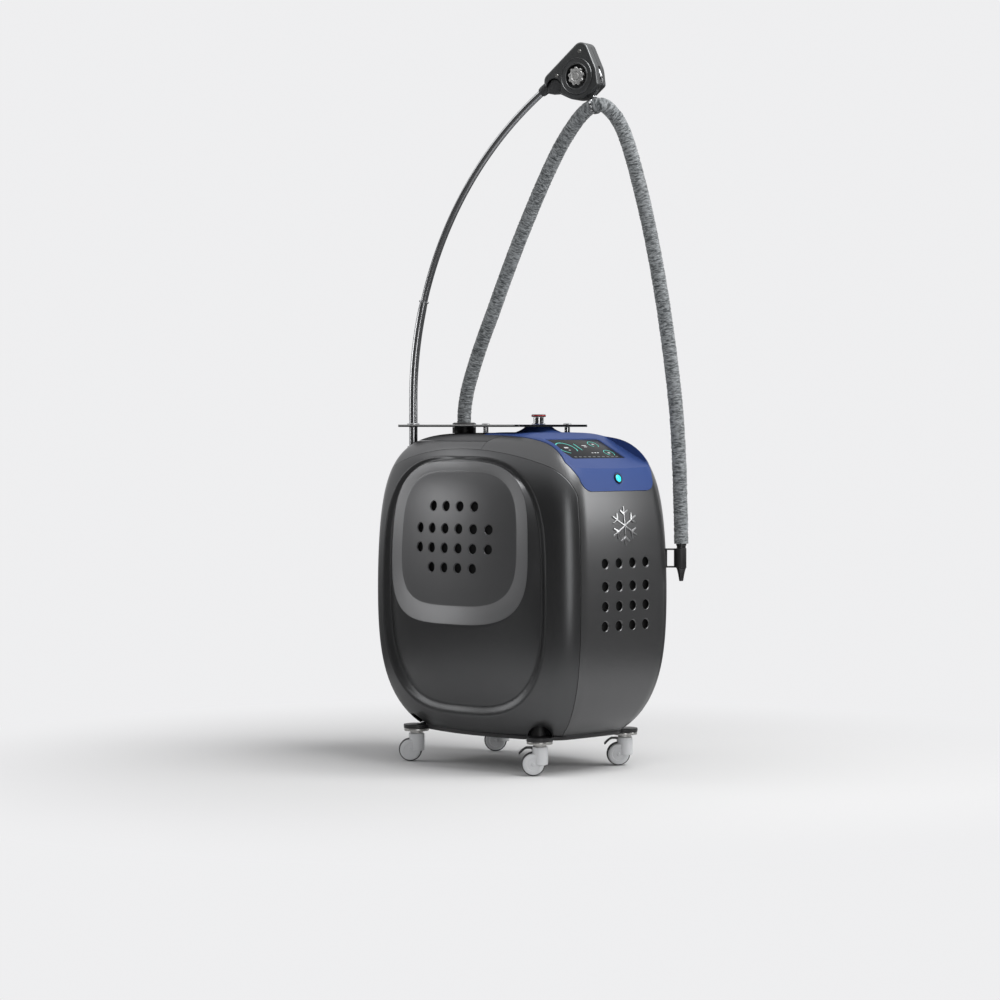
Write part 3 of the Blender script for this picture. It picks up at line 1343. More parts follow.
# %% Side covers
RING_START = len(TO_PANEL) - 1
RING_END = RING_START + len(EASED)
BLACK_SLOT, RING_SLOT, PAD_SLOT = 1, 2, 3
SIDE_VENTS, SIDE_VENTS_TOP = (4, 6, 6, 4), 0.540
ARCH_RADIUS, ARCH_REACH = 0.024, 0.060
CASTER_X, CASTER_Y = 0.126, 0.180


def arch_tool(side, way):
    """Half round notch in the foot of a corner, above its caster."""
    deselect()
    bpy.ops.mesh.primitive_cylinder_add(vertices=48, radius=ARCH_RADIUS, depth=2 * ARCH_REACH)
    made = new_piece("arch_tool")
    made.data.transform(Matrix.Translation((side * CASTER_X, way * CASTER_Y, FOOT - 0.001))
                        @ Matrix.Rotation(atan2(way, side), 4, "Z") @ Matrix.Rotation(pi / 2, 4, "Y"))
    return made


def side_cover(name, side):
    rays = [spoke(angle) for angle in turns()]
    around, out = len(rays), len(rays[0]) - 1

    def cover_point(column, row):
        run, z, depth = rays[column % around][row]
        return form_point(run, z, side, -depth)

    made = wrapped_grid(name, around, out, cover_point)
    rows = [face.index // around for face in made.data.polygons]
    zones = [PAD_SLOT if row < RING_START else RING_SLOT if row < RING_END else 0 for row in rows]
    made.data.attributes.new("zone", "INT", "FACE").data.foreach_set("value", zones)
    weld(made, WELD)
    middle = made.data.polygons[len(made.data.polygons) // 2]
    if middle.normal.dot(outward(middle.center)) < 0:
        made.data.flip_normals()
    thickened(made, WALL)
    bpy.ops.object.shade_smooth_by_angle(angle=radians(75))
    uncut = copied(made, name + "_uncut")
    skin = [flank_point(side, y, z, -PANEL_DEPTH) for y, z in vent_places(SIDE_VENTS, SIDE_VENTS_TOP)]
    cut_vents(made, [facing(p, outward(p)) for p in skin])
    for way in (-1, 1):
        cut(made, arch_tool(side, way))
    return made, uncut


right_cover, right_uncut = side_cover("side_cover_east", 1)
left_cover, left_uncut = copied(right_cover, "side_cover_west"), copied(right_uncut, "uncut_west")
for piece in (left_cover, left_uncut):
    piece.data.transform(Matrix.Scale(-1, 4, (1, 0, 0)))
    piece.data.flip_normals()
for cover, uncut, node in ((right_cover, right_uncut, "side_cover_right"), (left_cover, left_uncut, "side_cover_left")):
    finish_piece(cover, cover_paint, "cabinet", 30)
    keep_shading(cover, uncut)
    bpy.data.objects.remove(uncut, do_unlink=True)
    line_with_black(cover)
    cover.data.materials.append(ring_paint)
    cover.data.materials.append(pad_paint)
    zone = cover.data.attributes["zone"].data
    for face in cover.data.polygons:
        if face.material_index != BLACK_SLOT:
            face.material_index = zone[face.index].value
    stand_in(cover, node, "silver_grey_plastic")
print("side cover faces:", len(right_cover.data.polygons))

# %% [markdown]
# Behind each group of vents lies a sheet of black filter foam. Without it the
# light room would show through the machine. It is a small padded mat that follows
# the form a little behind the skin, made from a grid and thickened by Solidify.

# %% Filter mats
FILTER_THICKNESS = 0.004
FILTER_GAP = 0.009
MAT_STEPS = 16


def filter_mat(name, half_wide, low, high, point):
    def mat_point(column, row):
        across, up = column / MAT_STEPS - 0.5, row / MAT_STEPS - 0.5
        return point(across * 2 * half_wide, (low + high) / 2 + up * (high - low))

    made = thickened(weld(wrapped_grid(name, MAT_STEPS, MAT_STEPS, mat_point)), FILTER_THICKNESS, 0)
    finish_piece(made, inside_black, "cabinet")


def behind_front(x, z):
    return front_point(x, z, -WALL - FILTER_GAP)


def behind_rear(x, z):
    return behind_front(x, z) * Vector((1, -1, 1))


filter_mat("filter_front", 0.085, 0.285, 0.450, behind_front)
filter_mat("filter_rear", 0.085, 0.380, 0.545, behind_rear)
for side, name in ((1, "filter_east"), (-1, "filter_west")):
    filter_mat(name, 0.122, 0.393, 0.562,
               lambda y, z, side=side: flank_point(side, y, z, -PANEL_DEPTH - WALL - FILTER_GAP))
print("filter mats in")

# %% [markdown]
# Tubes and wires are swept: a flat grid is rolled into rings that follow a line of
# points, with frames carried along so that the tube doesn't twist. A bevelled
# curve would do it too, but a grid lets each ring have its own radius, which the
# pole's joint and the wires' rounded ends need.

# %% Swept tubes
def tube(name, points, radii, sides=24, closed=False):
    points = [Vector(p) for p in points]
    radii = radii if isinstance(radii, (list, tuple)) else [radii] * len(points)
    last = len(points) - 1
    rings = []
    across = None
    for i, p in enumerate(points):
        before = points[i - 1] if i else (points[last - 1] if closed else p)
        after = points[i + 1] if i < last else (points[1] if closed else p)
        along = (after - before).normalized()
        across = along.orthogonal() if across is None else across - along * across.dot(along)
        across.normalize()
        other = along.cross(across)
        rings.append([p + (across * cos(2 * pi * k / sides) + other * sin(2 * pi * k / sides)) * radii[i]
                      for k in range(sides)])
    made = wrapped_grid(name, sides, last, lambda column, row: rings[row][column % sides])
    return weld(made, 0.000002, fill=not closed)


print("sweep ready")

# %% [markdown]
# The arm is a thin chrome tube in two lengths. The lower, thicker one stands in its
# socket and starts the bend, the upper one is pushed into it behind a small ring,
# and both follow one arc. It leans over the machine in its own upright plane, so
# the arm's parts are laid out in that plane and turned into place together.

# %% Pole
ARM_TURN = radians(-80)
ARM_RADIUS, ARM_SWEEP, ARM_START = 0.755, radians(56), 0.760
LOWER_RADIUS, UPPER_RADIUS, JOINT_HEIGHT = 0.009, 0.0073, 0.962
POLE_FOOT, FOOT_STEP = 0.5663, 0.02
arm_place = Matrix.Translation(POLE) @ Matrix.Rotation(ARM_TURN, 4, "Z")


def arm_point(turn):
    return Vector((ARM_RADIUS * (1 - cos(turn)), 0, ARM_START + ARM_RADIUS * sin(turn)))


def on_arm(piece):
    piece.data.transform(arm_place)
    return piece


joint_turn = asin((JOINT_HEIGHT - ARM_START) / ARM_RADIUS)
lower_line = [Vector((0, 0, POLE_FOOT + FOOT_STEP * i)) for i in range(10)]
lower_line += [arm_point(joint_turn * i / 16) for i in range(17)]
radii = [LOWER_RADIUS] * (len(lower_line) - 2) + [LOWER_RADIUS - 0.0002, LOWER_RADIUS - 0.0008]
lower_tube = tube("lower_tube", lower_line, radii, 32)
upper_line = [arm_point(joint_turn + (ARM_SWEEP - joint_turn) * i / 48) for i in range(49)]
upper_tube = tube("upper_tube", upper_line, UPPER_RADIUS, 32)
ring_profile = [(0.0074, -0.0004), (0.0094, -0.0004), (0.0104, 0.0004), (0.0106, 0.0012), (0.0106, 0.0024),
                (0.0102, 0.0033), (0.0088, 0.0038), (0.0074, 0.0038), (0.0074, -0.0004)]
joint_ring = turned("joint_ring", ring_profile, 40)
joint_ring.data.transform(facing(upper_line[0], (upper_line[1] - upper_line[0]).normalized()))
for piece, node in ((lower_tube, "pole_lower"), (upper_tube, "pole_upper"), (joint_ring, "pole_ring")):
    finish_piece(on_arm(piece), dark_chrome, "arm", 40)
    stand_in(piece, node, "chrome")
print("pole reaches", round(upper_line[-1].z, 3))

# %% [markdown]
# The balancer's housing is two halves, cut from one plate whose outline is pulled
# round four circles: the spring drum, the apex, the heel where the tube enters and
# the toe where the cable leaves. A spline would be drawn as fast, but circles give
# the round corners that a moulder would give it.

# %% Outline of the head
DRUM, DRUM_RADIUS = (0.4240, 1.4080), 0.047
APEX, APEX_RADIUS = (0.4320, 1.4570), 0.019
HEEL, HEEL_RADIUS = (0.3610, 1.4030), 0.0165
TOE, TOE_RADIUS = (0.4655, 1.3910), 0.008


def round_points(middle, radius, sides):
    return [(middle[0] + radius * cos(2 * pi * k / sides), middle[1] + radius * sin(2 * pi * k / sides))
            for k in range(sides)]


def pulled_round(circles, sides=96):
    """Outline of a band pulled tight round several circles."""
    points = sorted(p for middle, radius in circles for p in round_points(middle, radius, sides))
    hull = []
    for part in (points, points[::-1]):
        half = []
        for p in part:
            while len(half) > 1 and ((half[-1][0] - half[-2][0]) * (p[1] - half[-2][1])
                                     - (half[-1][1] - half[-2][1]) * (p[0] - half[-2][0])) <= 0:
                half.pop()
            half.append(p)
        hull += half[:-1]
    return hull


head_outline = pulled_round([(DRUM, DRUM_RADIUS), (APEX, APEX_RADIUS), (HEEL, HEEL_RADIUS), (TOE, TOE_RADIUS)])
print("head outline points:", len(head_outline))

# %% [markdown]
# The skin's edge of each half is bevelled. Booleans sink the round pocket of the
# dial, an arch that shows the knuckle, the seats of knuckle and tube, and the
# cable's slot. A low rim is joined round the pocket.

# %% Housing halves
HALF_THICKNESS, HEAD_EDGE, HEAD_SEAM = 0.0175, 0.0040, 0.0006
POCKET_RADIUS, POCKET_DEPTH = 0.0245, 0.012
KNUCKLE = [((0.3680, 1.3920), 0.0142), ((0.3530, 1.3812), 0.0032), ((0.3830, 1.3900), 0.0032)]
KNUCKLE_SEAT = [(middle, radius + 0.0004) for middle, radius in KNUCKLE]
ARCH = [((0.3690, 1.3895), 0.0182), ((0.3560, 1.3560), 0.0200)]
CABLE_SLOT = [(0.455, 1.4275), (0.480, 1.4275), (0.480, 1.382), (0.4625, 1.382)]
collar_place = facing(arm_point(ARM_SWEEP), (sin(ARM_SWEEP), 0, cos(ARM_SWEEP)))


def bevel_faces(piece, test, **options):
    """Bevel the edges of the faces whose centre and normal pass a test."""
    select_only(piece)
    bpy.ops.object.mode_set(mode="EDIT")
    bpy.ops.mesh.select_all(action="DESELECT")
    bpy.ops.mesh.select_mode(type="FACE")
    mesh = bmesh.from_edit_mesh(piece.data)
    for face in mesh.faces:
        if test(face.calc_center_median(), face.normal):
            face.select_set(True)
    mesh.select_flush(True)
    bmesh.update_edit_mesh(piece.data)
    bpy.ops.mesh.bevel(**options)
    bpy.ops.object.mode_set(mode="OBJECT")


def on_skin(piece, x, z):
    """Lay a lathe shape on the near skin of the head."""
    piece.data.transform(Matrix.Translation((x, -HALF_THICKNESS, z)) @ Matrix.Rotation(pi / 2, 4, "X"))
    return piece


def housing_half(name, way):
    skin, flat = way * HALF_THICKNESS, way * HEAD_SEAM / 2
    made = plate(name, head_outline, skin, flat, "Y")
    bevel_faces(made, lambda p, n: abs(p.y - skin) < 0.0001, offset=HEAD_EDGE, segments=4, profile=0.6)
    if way < 0:
        cut(made, plate("arch_tool", pulled_round(ARCH), -0.03, 0.0, "Y"))
    cut(made, plate("seat_tool", pulled_round(KNUCKLE_SEAT), -0.0134, 0.0134, "Y"))
    sleeve = hole_tool("sleeve_tool", 0.0110, -0.010, 0.030, sides=40)
    sleeve.data.transform(collar_place)
    cut(made, sleeve)
    return cut(made, plate("cable_tool", CABLE_SLOT, -0.0032, 0.0032, "Y"))


near_half, far_half = housing_half("housing_near", -1), housing_half("housing_far", 1)
cut(near_half, plate("pocket_tool", round_points(DRUM, POCKET_RADIUS, 64), -0.03, -HALF_THICKNESS + POCKET_DEPTH, "Y"))
rim_profile = [(0.0246, 0.0), (0.0246, 0.0012), (0.0254, 0.0020), (0.0268, 0.0020), (0.0276, 0.0012), (0.0345, 0.0009),
               (0.0352, 0.0018), (0.0366, 0.0018), (0.0374, 0.0008), (0.0380, -0.0010), (0.0246, -0.0010),
               (0.0246, 0.0)]
near_half = joined([near_half, on_skin(turned("pocket_rim", rim_profile, 96), *DRUM)], "housing_near")
for piece, node in ((near_half, "balancer_cover_near"), (far_half, "balancer_cover_far")):
    finish_piece(on_arm(piece), cast_grey, "arm", 30)
    stand_in(piece, node, "dark_grey_plastic")
print("near half faces:", len(near_half.data.polygons))

# %% [markdown]
# Two cross recessed screws hold the halves together. The knuckle is a plastic block
# between them, with a collar that the pole is pushed into.

# %% Screws and knuckle
screw_profile = [(0.0, 0.0007), (0.0018, 0.0010), (0.0031, 0.0008), (0.0036, 0.0002), (0.0036, -0.0008),
                 (0.0, -0.0008), (0.0, 0.0007)]
CROSS = [(-0.0019, -0.00035), (0.0019, -0.00035), (0.0019, 0.00035), (-0.0019, 0.00035)]


def cross_screw(x, z):
    screw = turned("screw", screw_profile, 32)
    for turn in (0.3, 0.3 + pi / 2):
        cross = plate("cross_tool", CROSS, 0.0001, 0.003)
        cross.data.transform(Matrix.Rotation(turn, 4, "Z"))
        cut(screw, cross)
    return on_skin(screw, x, z)


screws = joined([cross_screw(0.4315, 1.4580), cross_screw(0.3765, 1.4125)], "housing_screws")
finish_piece(on_arm(screws), zinc, "arm")
knuckle = bevelled(plate("knuckle", pulled_round(KNUCKLE), -0.0131, 0.0131, "Y"), 0.0022, 4)
collar_profile = [(0.0076, -0.0060), (0.0086, -0.0062), (0.0096, -0.0052), (0.0106, 0.0020), (0.0106, 0.0240),
                  (0.0, 0.0240)]
collar = turned("knuckle_collar", collar_profile, 40)
collar.data.transform(collar_place)
knuckle = joined([knuckle, collar], "knuckle")
finish_piece(on_arm(knuckle), dark_plastic, "arm", 40)
stand_in(knuckle, "arm_knuckle", "dark_grey_plastic")
print("knuckle faces:", len(knuckle.data.polygons))

# %% [markdown]
# The tension dial is a bright casting with nine teeth, sunk in its pocket. It could
# be a gear cut by Booleans, but the teeth are soft: they are a wave in the radius of
# a polar grid that fades inwards.

# %% Tension dial
DIAL_TEETH, DIAL_TURNS, TOOTH_HEIGHT, TOOTH_SHARPNESS = 9, 144, 0.0016, 1.9
DIAL_FACE = -HALF_THICKNESS - 0.0028
DIAL_DEPTH = POCKET_DEPTH - 0.0003 + 0.0028
DIAL_RINGS = [(0.0, 0, 0.0002), (0.0030, 0, 0.0002), (0.0062, 0, 0.0), (0.0068, 0, 0.0004), (0.0071, 0, 0.0014),
              (0.0092, 0, 0.0016), (0.0095, 0, 0.0006), (0.0102, 0, 0.0), (0.0140, 0.4, 0.0), (0.0164, 0.9, 0.0003),
              (0.0172, 1, 0.0010), (0.0175, 1, 0.0022), (0.0175, 1, DIAL_DEPTH), (0.0, 0, DIAL_DEPTH)]


def dial_point(column, row):
    angle = 2 * pi * (column % DIAL_TURNS) / DIAL_TURNS
    reach, share, sink = DIAL_RINGS[row]
    reach += TOOTH_HEIGHT * share * max(-1.0, min(1.0, sin(DIAL_TEETH * angle) * TOOTH_SHARPNESS))
    return reach * cos(angle), DIAL_FACE + sink, reach * sin(angle)


dial = weld(wrapped_grid("dial", DIAL_TURNS, len(DIAL_RINGS) - 1, dial_point), 0.000002)
dial.data.transform(Matrix.Translation((DRUM[0], 0, DRUM[1])))
finish_piece(on_arm(dial), cast_bright, "dial", 30)
stand_in(dial, "tension_dial", "chrome")
print("dial faces:", len(dial.data.polygons))

# %% [markdown]
# The cable comes out of the slot at the toe and ends in a wire hook. A steel band
# goes round the hose under it, with a small eye that the hook passes through. The
# band stands where the hose line passes under the toe, square to the line.

# %% Hook and clamp
CLAMP_Y = -0.2130
clamp_index = min(range(len(hose_line)), key=lambda k: abs(hose_line[k].y - CLAMP_Y) + abs(hose_line[k].x) * 0.2)
clamp_middle = hose_line[clamp_index]
clamp_along = (hose_line[clamp_index + 2] - hose_line[clamp_index - 2]).normalized()
clamp_up = (Vector((0, 0, 1)) - clamp_along * clamp_along.z).normalized()
band_profile = [(0.0153, -0.003), (0.0170, -0.003), (0.0174, -0.0026), (0.0174, 0.0026), (0.0170, 0.003),
                (0.0153, 0.003), (0.0153, -0.003)]
clamp_band = turned("clamp_band", band_profile, 64)
clamp_band.data.transform(facing(clamp_middle, clamp_along))
eye_middle = clamp_middle + clamp_up * 0.0198
eye_turns = [2 * pi * k / 24 for k in range(25)]
eye = tube("clamp_eye", [eye_middle + (clamp_up * cos(t) + clamp_along.cross(clamp_up) * sin(t)) * 0.0034
                         for t in eye_turns], 0.0009, 10, True)
clamp_band = joined([clamp_band, eye], "clamp_band")
finish_piece(clamp_band, chrome, "arm", 35)
stand_in(clamp_band, "hose_clamp", "chrome")

foot = arm_place.inverted() @ eye_middle
half_hook = [(0.462, -0.0010, 1.4230), (0.4680, -0.0014, 1.4180), (0.4735, -0.0026, 1.3960)]
loop = [foot + Vector((0.0, -0.0022 * cos(pi * k / 12), 0.0010 - 0.0032 * sin(pi * k / 12))) for k in range(13)]
hook_knots = half_hook + loop + [(x, -y, z) for x, y, z in reversed(half_hook)]
hook = tube("cable_hook", smooth_route(hook_knots, 4), 0.0010, 12)
finish_piece(on_arm(hook), chrome, "arm", 40)
print("clamp at", tuple(round(v, 4) for v in clamp_middle))

# %% [markdown]
# The casters are of the twin-cheek kind: a round plate with a kingpin, a moulded
# housing, a wheel between its cheeks and, in front, a brake lever. The housing is a
# lathe shape for the barrel joined with a round hood for the wheel, and a tunnel is
# cut through it. The wheel is turned from a profile with a hub, a dished disc and
# a round tyre. Each piece is modelled once, for the front left corner, and the
# other corners get copies with a mesh of their own.

# %% Wheel
CASTER_YAW = radians(135)
WHEEL_RADIUS, WHEEL_TRAIL = 0.0245, 0.013


def at_axle(profile, name, sides=48):
    """A lathe shape that turns about the wheel's axle."""
    made = turned(name, profile, sides)
    made.data.transform(Matrix.Translation((WHEEL_TRAIL, 0, WHEEL_RADIUS)) @ Matrix.Rotation(pi / 2, 4, "X"))
    return made


def both_ways(profile, close=()):
    """A profile and its mirror image below, for a lathe shape with two equal faces."""
    return profile + [(r, -h) for r, h in profile[::-1] if h] + list(close)


half_wheel = [(0.0043, 0.0065), (0.0058, 0.0065), (0.0062, 0.0060), (0.0064, 0.0042), (0.0080, 0.0036),
              (0.0150, 0.0036), (0.0166, 0.0042), (0.0170, 0.0058), (0.0176, 0.0064), (0.0205, 0.0065),
              (0.0222, 0.0060), (0.0235, 0.0048), (0.0243, 0.0028), (WHEEL_RADIUS, 0.0)]
wheel = at_axle(both_ways(half_wheel, half_wheel[:1]), "wheel", 72)
print("wheel faces:", len(wheel.data.polygons))

# %% Housing
HOOD_RADIUS, HOOD_HALF = 0.0215, 0.0145
BARREL_RADIUS, BARREL_TOP = 0.0165, 0.0589

housing = turned("barrel", [(0.0, 0.0225), (BARREL_RADIUS - 0.001, 0.0225), (BARREL_RADIUS, 0.0235),
                            (BARREL_RADIUS, 0.0575), (BARREL_RADIUS - 0.0004, 0.0585),
                            (BARREL_RADIUS - 0.0014, BARREL_TOP), (0.0, BARREL_TOP)], 64)
hood_edge = [(0.0030, 0.0), (0.0012, 0.0006), (0.0003, 0.0018), (0.0, 0.0032)]
half_hood = [(0.0, HOOD_HALF)] + [(HOOD_RADIUS - r, HOOD_HALF - h) for r, h in hood_edge]
boolean(housing, at_axle(both_ways(half_hood), "hood", 72), "UNION")
cut(housing, at_axle(both_ways([(0.0, 0.0075), (0.0255, 0.0075)]), "tunnel_tool", 72))
for way in (1, -1):
    dish = [(0.0, way * 0.0139), (0.0125, way * 0.0139), (0.0140, way * 0.0150), (0.0, way * 0.0150)]
    cut(housing, at_axle(dish, "dish_tool"))
axle = at_axle(both_ways([(0.0, 0.0154), (0.0030, 0.0152), (0.0038, 0.0142)]), "axle", 24)
boolean(housing, axle, "UNION")
cut(housing, hole_tool("bore_tool", 0.0053, 0.051, 0.060, sides=32))
print("housing faces:", len(housing.data.polygons))

# %% Plate and lever
LEVER_START, LEVER_LENGTH, LEVER_DROP = 0.0145, 0.0283, 0.0154
LEVER_SHAPE = [(0.0, 0.29), (0.10, 0.27), (0.25, 0.245), (0.41, 0.25), (0.50, 0.30), (0.60, 0.41), (0.70, 0.57),
               (0.80, 0.76), (0.88, 0.92), (0.94, 1.0), (0.985, 0.97), (1.0, 0.88), (0.96, 0.74), (0.88, 0.57),
               (0.80, 0.43), (0.70, 0.29), (0.60, 0.16), (0.52, 0.06), (0.44, 0.01), (0.34, 0.0), (0.0, 0.0)]
LEVER_NOTCH = [(0.0138, 0.0533), (0.030, 0.0533), (0.030, 0.061), (0.0138, 0.061)]

plate_profile = [(0.0, 0.0515), (0.0050, 0.0515), (0.0050, 0.0592), (0.0128, 0.0592), (0.0135, 0.0598),
                 (0.0135, 0.0642), (0.0252, 0.0642), (0.0258, 0.0646), (0.0260, 0.0652), (0.0260, 0.0690),
                 (0.0257, 0.0695), (0.0250, 0.0697), (0.0, 0.0697)]
caster_plate = turned("caster_plate", plate_profile, 64)
lever_outline = [(LEVER_START + LEVER_LENGTH * a, BARREL_TOP - LEVER_DROP * b) for a, b in LEVER_SHAPE]
lever = bevelled(plate("lever", lever_outline, -0.0075, 0.0075, "Y"), 0.0008, 2, 40)
braked_housing = cut(copied(housing, "braked_housing"), plate("notch_tool", LEVER_NOTCH, -0.0079, 0.0079, "Y"))
print("lever faces:", len(lever.data.polygons))

# %% Four corners
FRONT_CORNERS = {"front_left": (-CASTER_X, -CASTER_Y), "front_right": (CASTER_X, -CASTER_Y)}
REAR_CORNERS = {"rear_left": (-CASTER_X, CASTER_Y), "rear_right": (CASTER_X, CASTER_Y)}
WHEEL = ("wheel", wheel, tyre_rubber, "caster_wheel_", "caster_roller_", "tyre_rubber")
HOUSING = ("housing", housing, housing_nylon, "caster_housing_", "caster_fork_", "white_plastic")
BRAKED_HOUSING = ("housing", braked_housing, housing_nylon, "caster_housing_", "caster_fork_", "white_plastic")
MOUNT = ("mount", caster_plate, zinc, "caster_plate_", None, "zinc_plated_steel")
LEVER = ("lever", lever, black_plastic, "brake_lever_", "caster_brake_", "dark_grey_plastic")

for corners, kit in ((FRONT_CORNERS, (WHEEL, BRAKED_HOUSING, MOUNT, LEVER)), (REAR_CORNERS, (WHEEL, HOUSING, MOUNT))):
    for corner, (x, y) in corners.items():
        place = Matrix.Translation((x, y, 0)) @ Matrix.Rotation(CASTER_YAW, 4, "Z")
        for kind, model, finish, node, body, slot in kit:
            piece = copied(model, kind + "_" + corner)
            piece.data.transform(place)
            finish_piece(piece, finish, body + corner if body else "cabinet", 35)
            stand_in(piece, node + corner, slot)
for model in (wheel, housing, braked_housing, caster_plate, lever):
    bpy.data.objects.remove(model, do_unlink=True)
print("casters:", len(FRONT_CORNERS) + len(REAR_CORNERS))

# %% [markdown]
# The touch screen is a glass pane a little below the bench, in a chamfered frame.
# It shows what such machines show, drawn as plain shapes without any lettering: a
# large ring gauge, a slider, two small gauges and a few bars. They are flat strips
# on the glass with a weak glow. A ring gauge is an open band of a circle. A
# procedural texture could draw them too, but strips are easier to place.

# %% Screen
GLASS_DROP = 0.0012
MARK_LIFT, MARK_THICKNESS = 0.00003, 0.00010

pane = plate("screen_glass", rounded(-0.0775, 0.0775, -0.0432, 0.0432, 0.0040, 8), -0.0110, -GLASS_DROP)
bevelled(pane, 0.0003, 2)
pane.data.transform(bench_place)
finish_piece(pane, screen_glass, "cabinet", 30)
stand_in(pane, "touch_screen", "black_glass")


def arc_band(x, y, radius, width, first, last, steps=40):
    """Open ring on the screen, from one angle to another in degrees."""
    outline = []
    for reach, order in ((radius + width / 2, 1), (radius - width / 2, -1)):
        for k in range(steps + 1)[::order]:
            angle = radians(first + (last - first) * k / steps)
            outline.append((x + reach * cos(angle), y + reach * sin(angle)))
    return outline


def bar(x, y, wide, tall):
    return rounded(x - wide / 2, x + wide / 2, y - tall / 2, y + tall / 2, min(wide, tall) * 0.45, 4)


def drawn(name, outlines, finish):
    low = MARK_LIFT - GLASS_DROP
    strips = [plate(name + str(i), outline, low, low + MARK_THICKNESS) for i, outline in enumerate(outlines)]
    made = joined(strips, name)
    made.data.transform(bench_place)
    finish_piece(made, finish, "cabinet", 0)


cyan_marks = [arc_band(-0.051, 0.004, 0.0235, 0.0019, -35, 250), arc_band(0.041, 0.0200, 0.0120, 0.0013, -60, 240, 28),
              arc_band(0.052, -0.0190, 0.0120, 0.0013, -60, 240, 28), bar(-0.0140, 0.0090, 0.0018, 0.0290)]
white_marks = [bar(*place) for place in (
    (0.0090, 0.0150, 0.0130, 0.0026), (0.0090, 0.0090, 0.0090, 0.0026), (0.041, 0.0200, 0.0070, 0.0040),
    (0.052, -0.0190, 0.0070, 0.0040), (-0.051, 0.0060, 0.0120, 0.0050), (-0.051, -0.0050, 0.0060, 0.0018))]
white_marks += [bar(0.004 + 0.008 * k, -0.0180, 0.0048, 0.0030) for k in range(3)]
grey_marks = [bar(-0.062 + 0.0135 * k, -0.0355, 0.0080, 0.0036) for k in range(10)]
drawn("screen_gauges", cyan_marks, mark_cyan)
drawn("screen_values", white_marks, mark_white)
drawn("screen_menu", grey_marks, mark_grey)
print("screen marks:", len(cyan_marks + white_marks + grey_marks))

# %% [markdown]
# The power button is a lit lens in a dark ring, and the stop button a chrome barrel
# with a wide flat cap whose edge carries a red ring. All are lathe shapes, turned
# from a profile with small round edges. The red ring is not a piece of its own: the
# faces at that height get the red finish.

# %% Power button and stop button
RED_FOOT, RED_TOP, UPRIGHT = 0.7225, 0.7247, 0.8


def fitting(name, node, place, profile, finish, slot, body="cabinet", sides=64, angle=35):
    """A lathe shape, finished and put in a node's place; the place is a point or a frame."""
    piece = turned(name, profile, sides)
    piece.data.transform(place if isinstance(place, Matrix) else Matrix.Translation(place))
    finish_piece(piece, finish, body, angle)
    stand_in(piece, node, slot)
    return piece


fitting("button_ring", "power_button_ring", button_place,
        [(0.0078, -0.0120), (0.0104, -0.0120), (0.0105, 0.0004), (0.0103, 0.0012), (0.0098, 0.0018), (0.0090, 0.0020),
         (0.0082, 0.0017), (0.0078, 0.0009), (0.0078, -0.0120)], black_plastic, "black_plastic", angle=40)
fitting("button_lens", "power_button", button_place,
        [(0.0, -0.0120), (0.0074, -0.0120), (0.0075, 0.0002), (0.0070, 0.0008), (0.0055, 0.0015), (0.0030, 0.0021),
         (0.0, 0.0023)], lit_lens, "lit_lens", "start_button", angle=60)
fitting("stop_bezel", "estop_bezel", (0, STOP_Y, 0),
        [(0.0113, 0.7053), (0.0143, 0.7053), (0.0145, 0.7058), (0.0144, 0.7067), (0.0136, 0.7073), (0.0122, 0.7073),
         (0.0113, 0.7068), (0.0113, 0.7053)], chrome, "chrome", sides=72, angle=30)
fitting("stop_barrel", "estop_barrel", (0, STOP_Y, 0),
        [(0.0, 0.6940), (0.0105, 0.6940), (0.0110, 0.6945), (0.0110, 0.7100), (0.0106, 0.7104), (0.0106, 0.7112),
         (0.0110, 0.7116), (0.0110, 0.7202), (0.0, 0.7202)], chrome, "chrome", "stop_button", sides=72, angle=30)
stop_cap = fitting("stop_cap", "estop_cap", (0, STOP_Y, 0),
                   [(0.0, 0.7205), (0.0134, 0.7205), (0.0144, 0.7209), (0.0148, 0.7216), (0.0148, 0.7224),
                    (0.0150, 0.7226), (0.0150, 0.7246), (0.0147, 0.7248), (0.0146, 0.7253), (0.0140, 0.7258),
                    (0.0120, 0.7260), (0.0040, 0.7258), (0.0, 0.7257)], dark_metal, "red_plastic", "stop_button",
                   sides=72, angle=30)
stop_cap.data.materials.append(red_plastic)
for face in stop_cap.data.polygons:
    face.material_index = int(RED_FOOT < face.center.z < RED_TOP and abs(face.normal.z) < UPRIGHT)
print("buttons done")

# %% [markdown]
# The snowflake is a satin chrome emblem of six arms with two twigs each, on the
# curved front. It is drawn flat as one outline, extruded and bevelled, and then laid
# on the form, so that it stays equally high above the panel everywhere. Cut from
# six copies of one arm it would have seams where they meet.

# %% Snowflake
SNOW_MIDDLE, SNOW_RADIUS, SNOW_BAR, SNOW_HEIGHT, SNOW_LIFT = 0.502, 0.040, 0.0017, 0.0016, 0.0003
TWIG_SHARE, TWIG_LENGTH, TWIG_LEAN = 0.60, 0.014, radians(60)
CORNER_SLOPE = sin(pi / 6) / cos(pi / 6)


def mirrored(p):
    return Vector((-p.x, p.y))


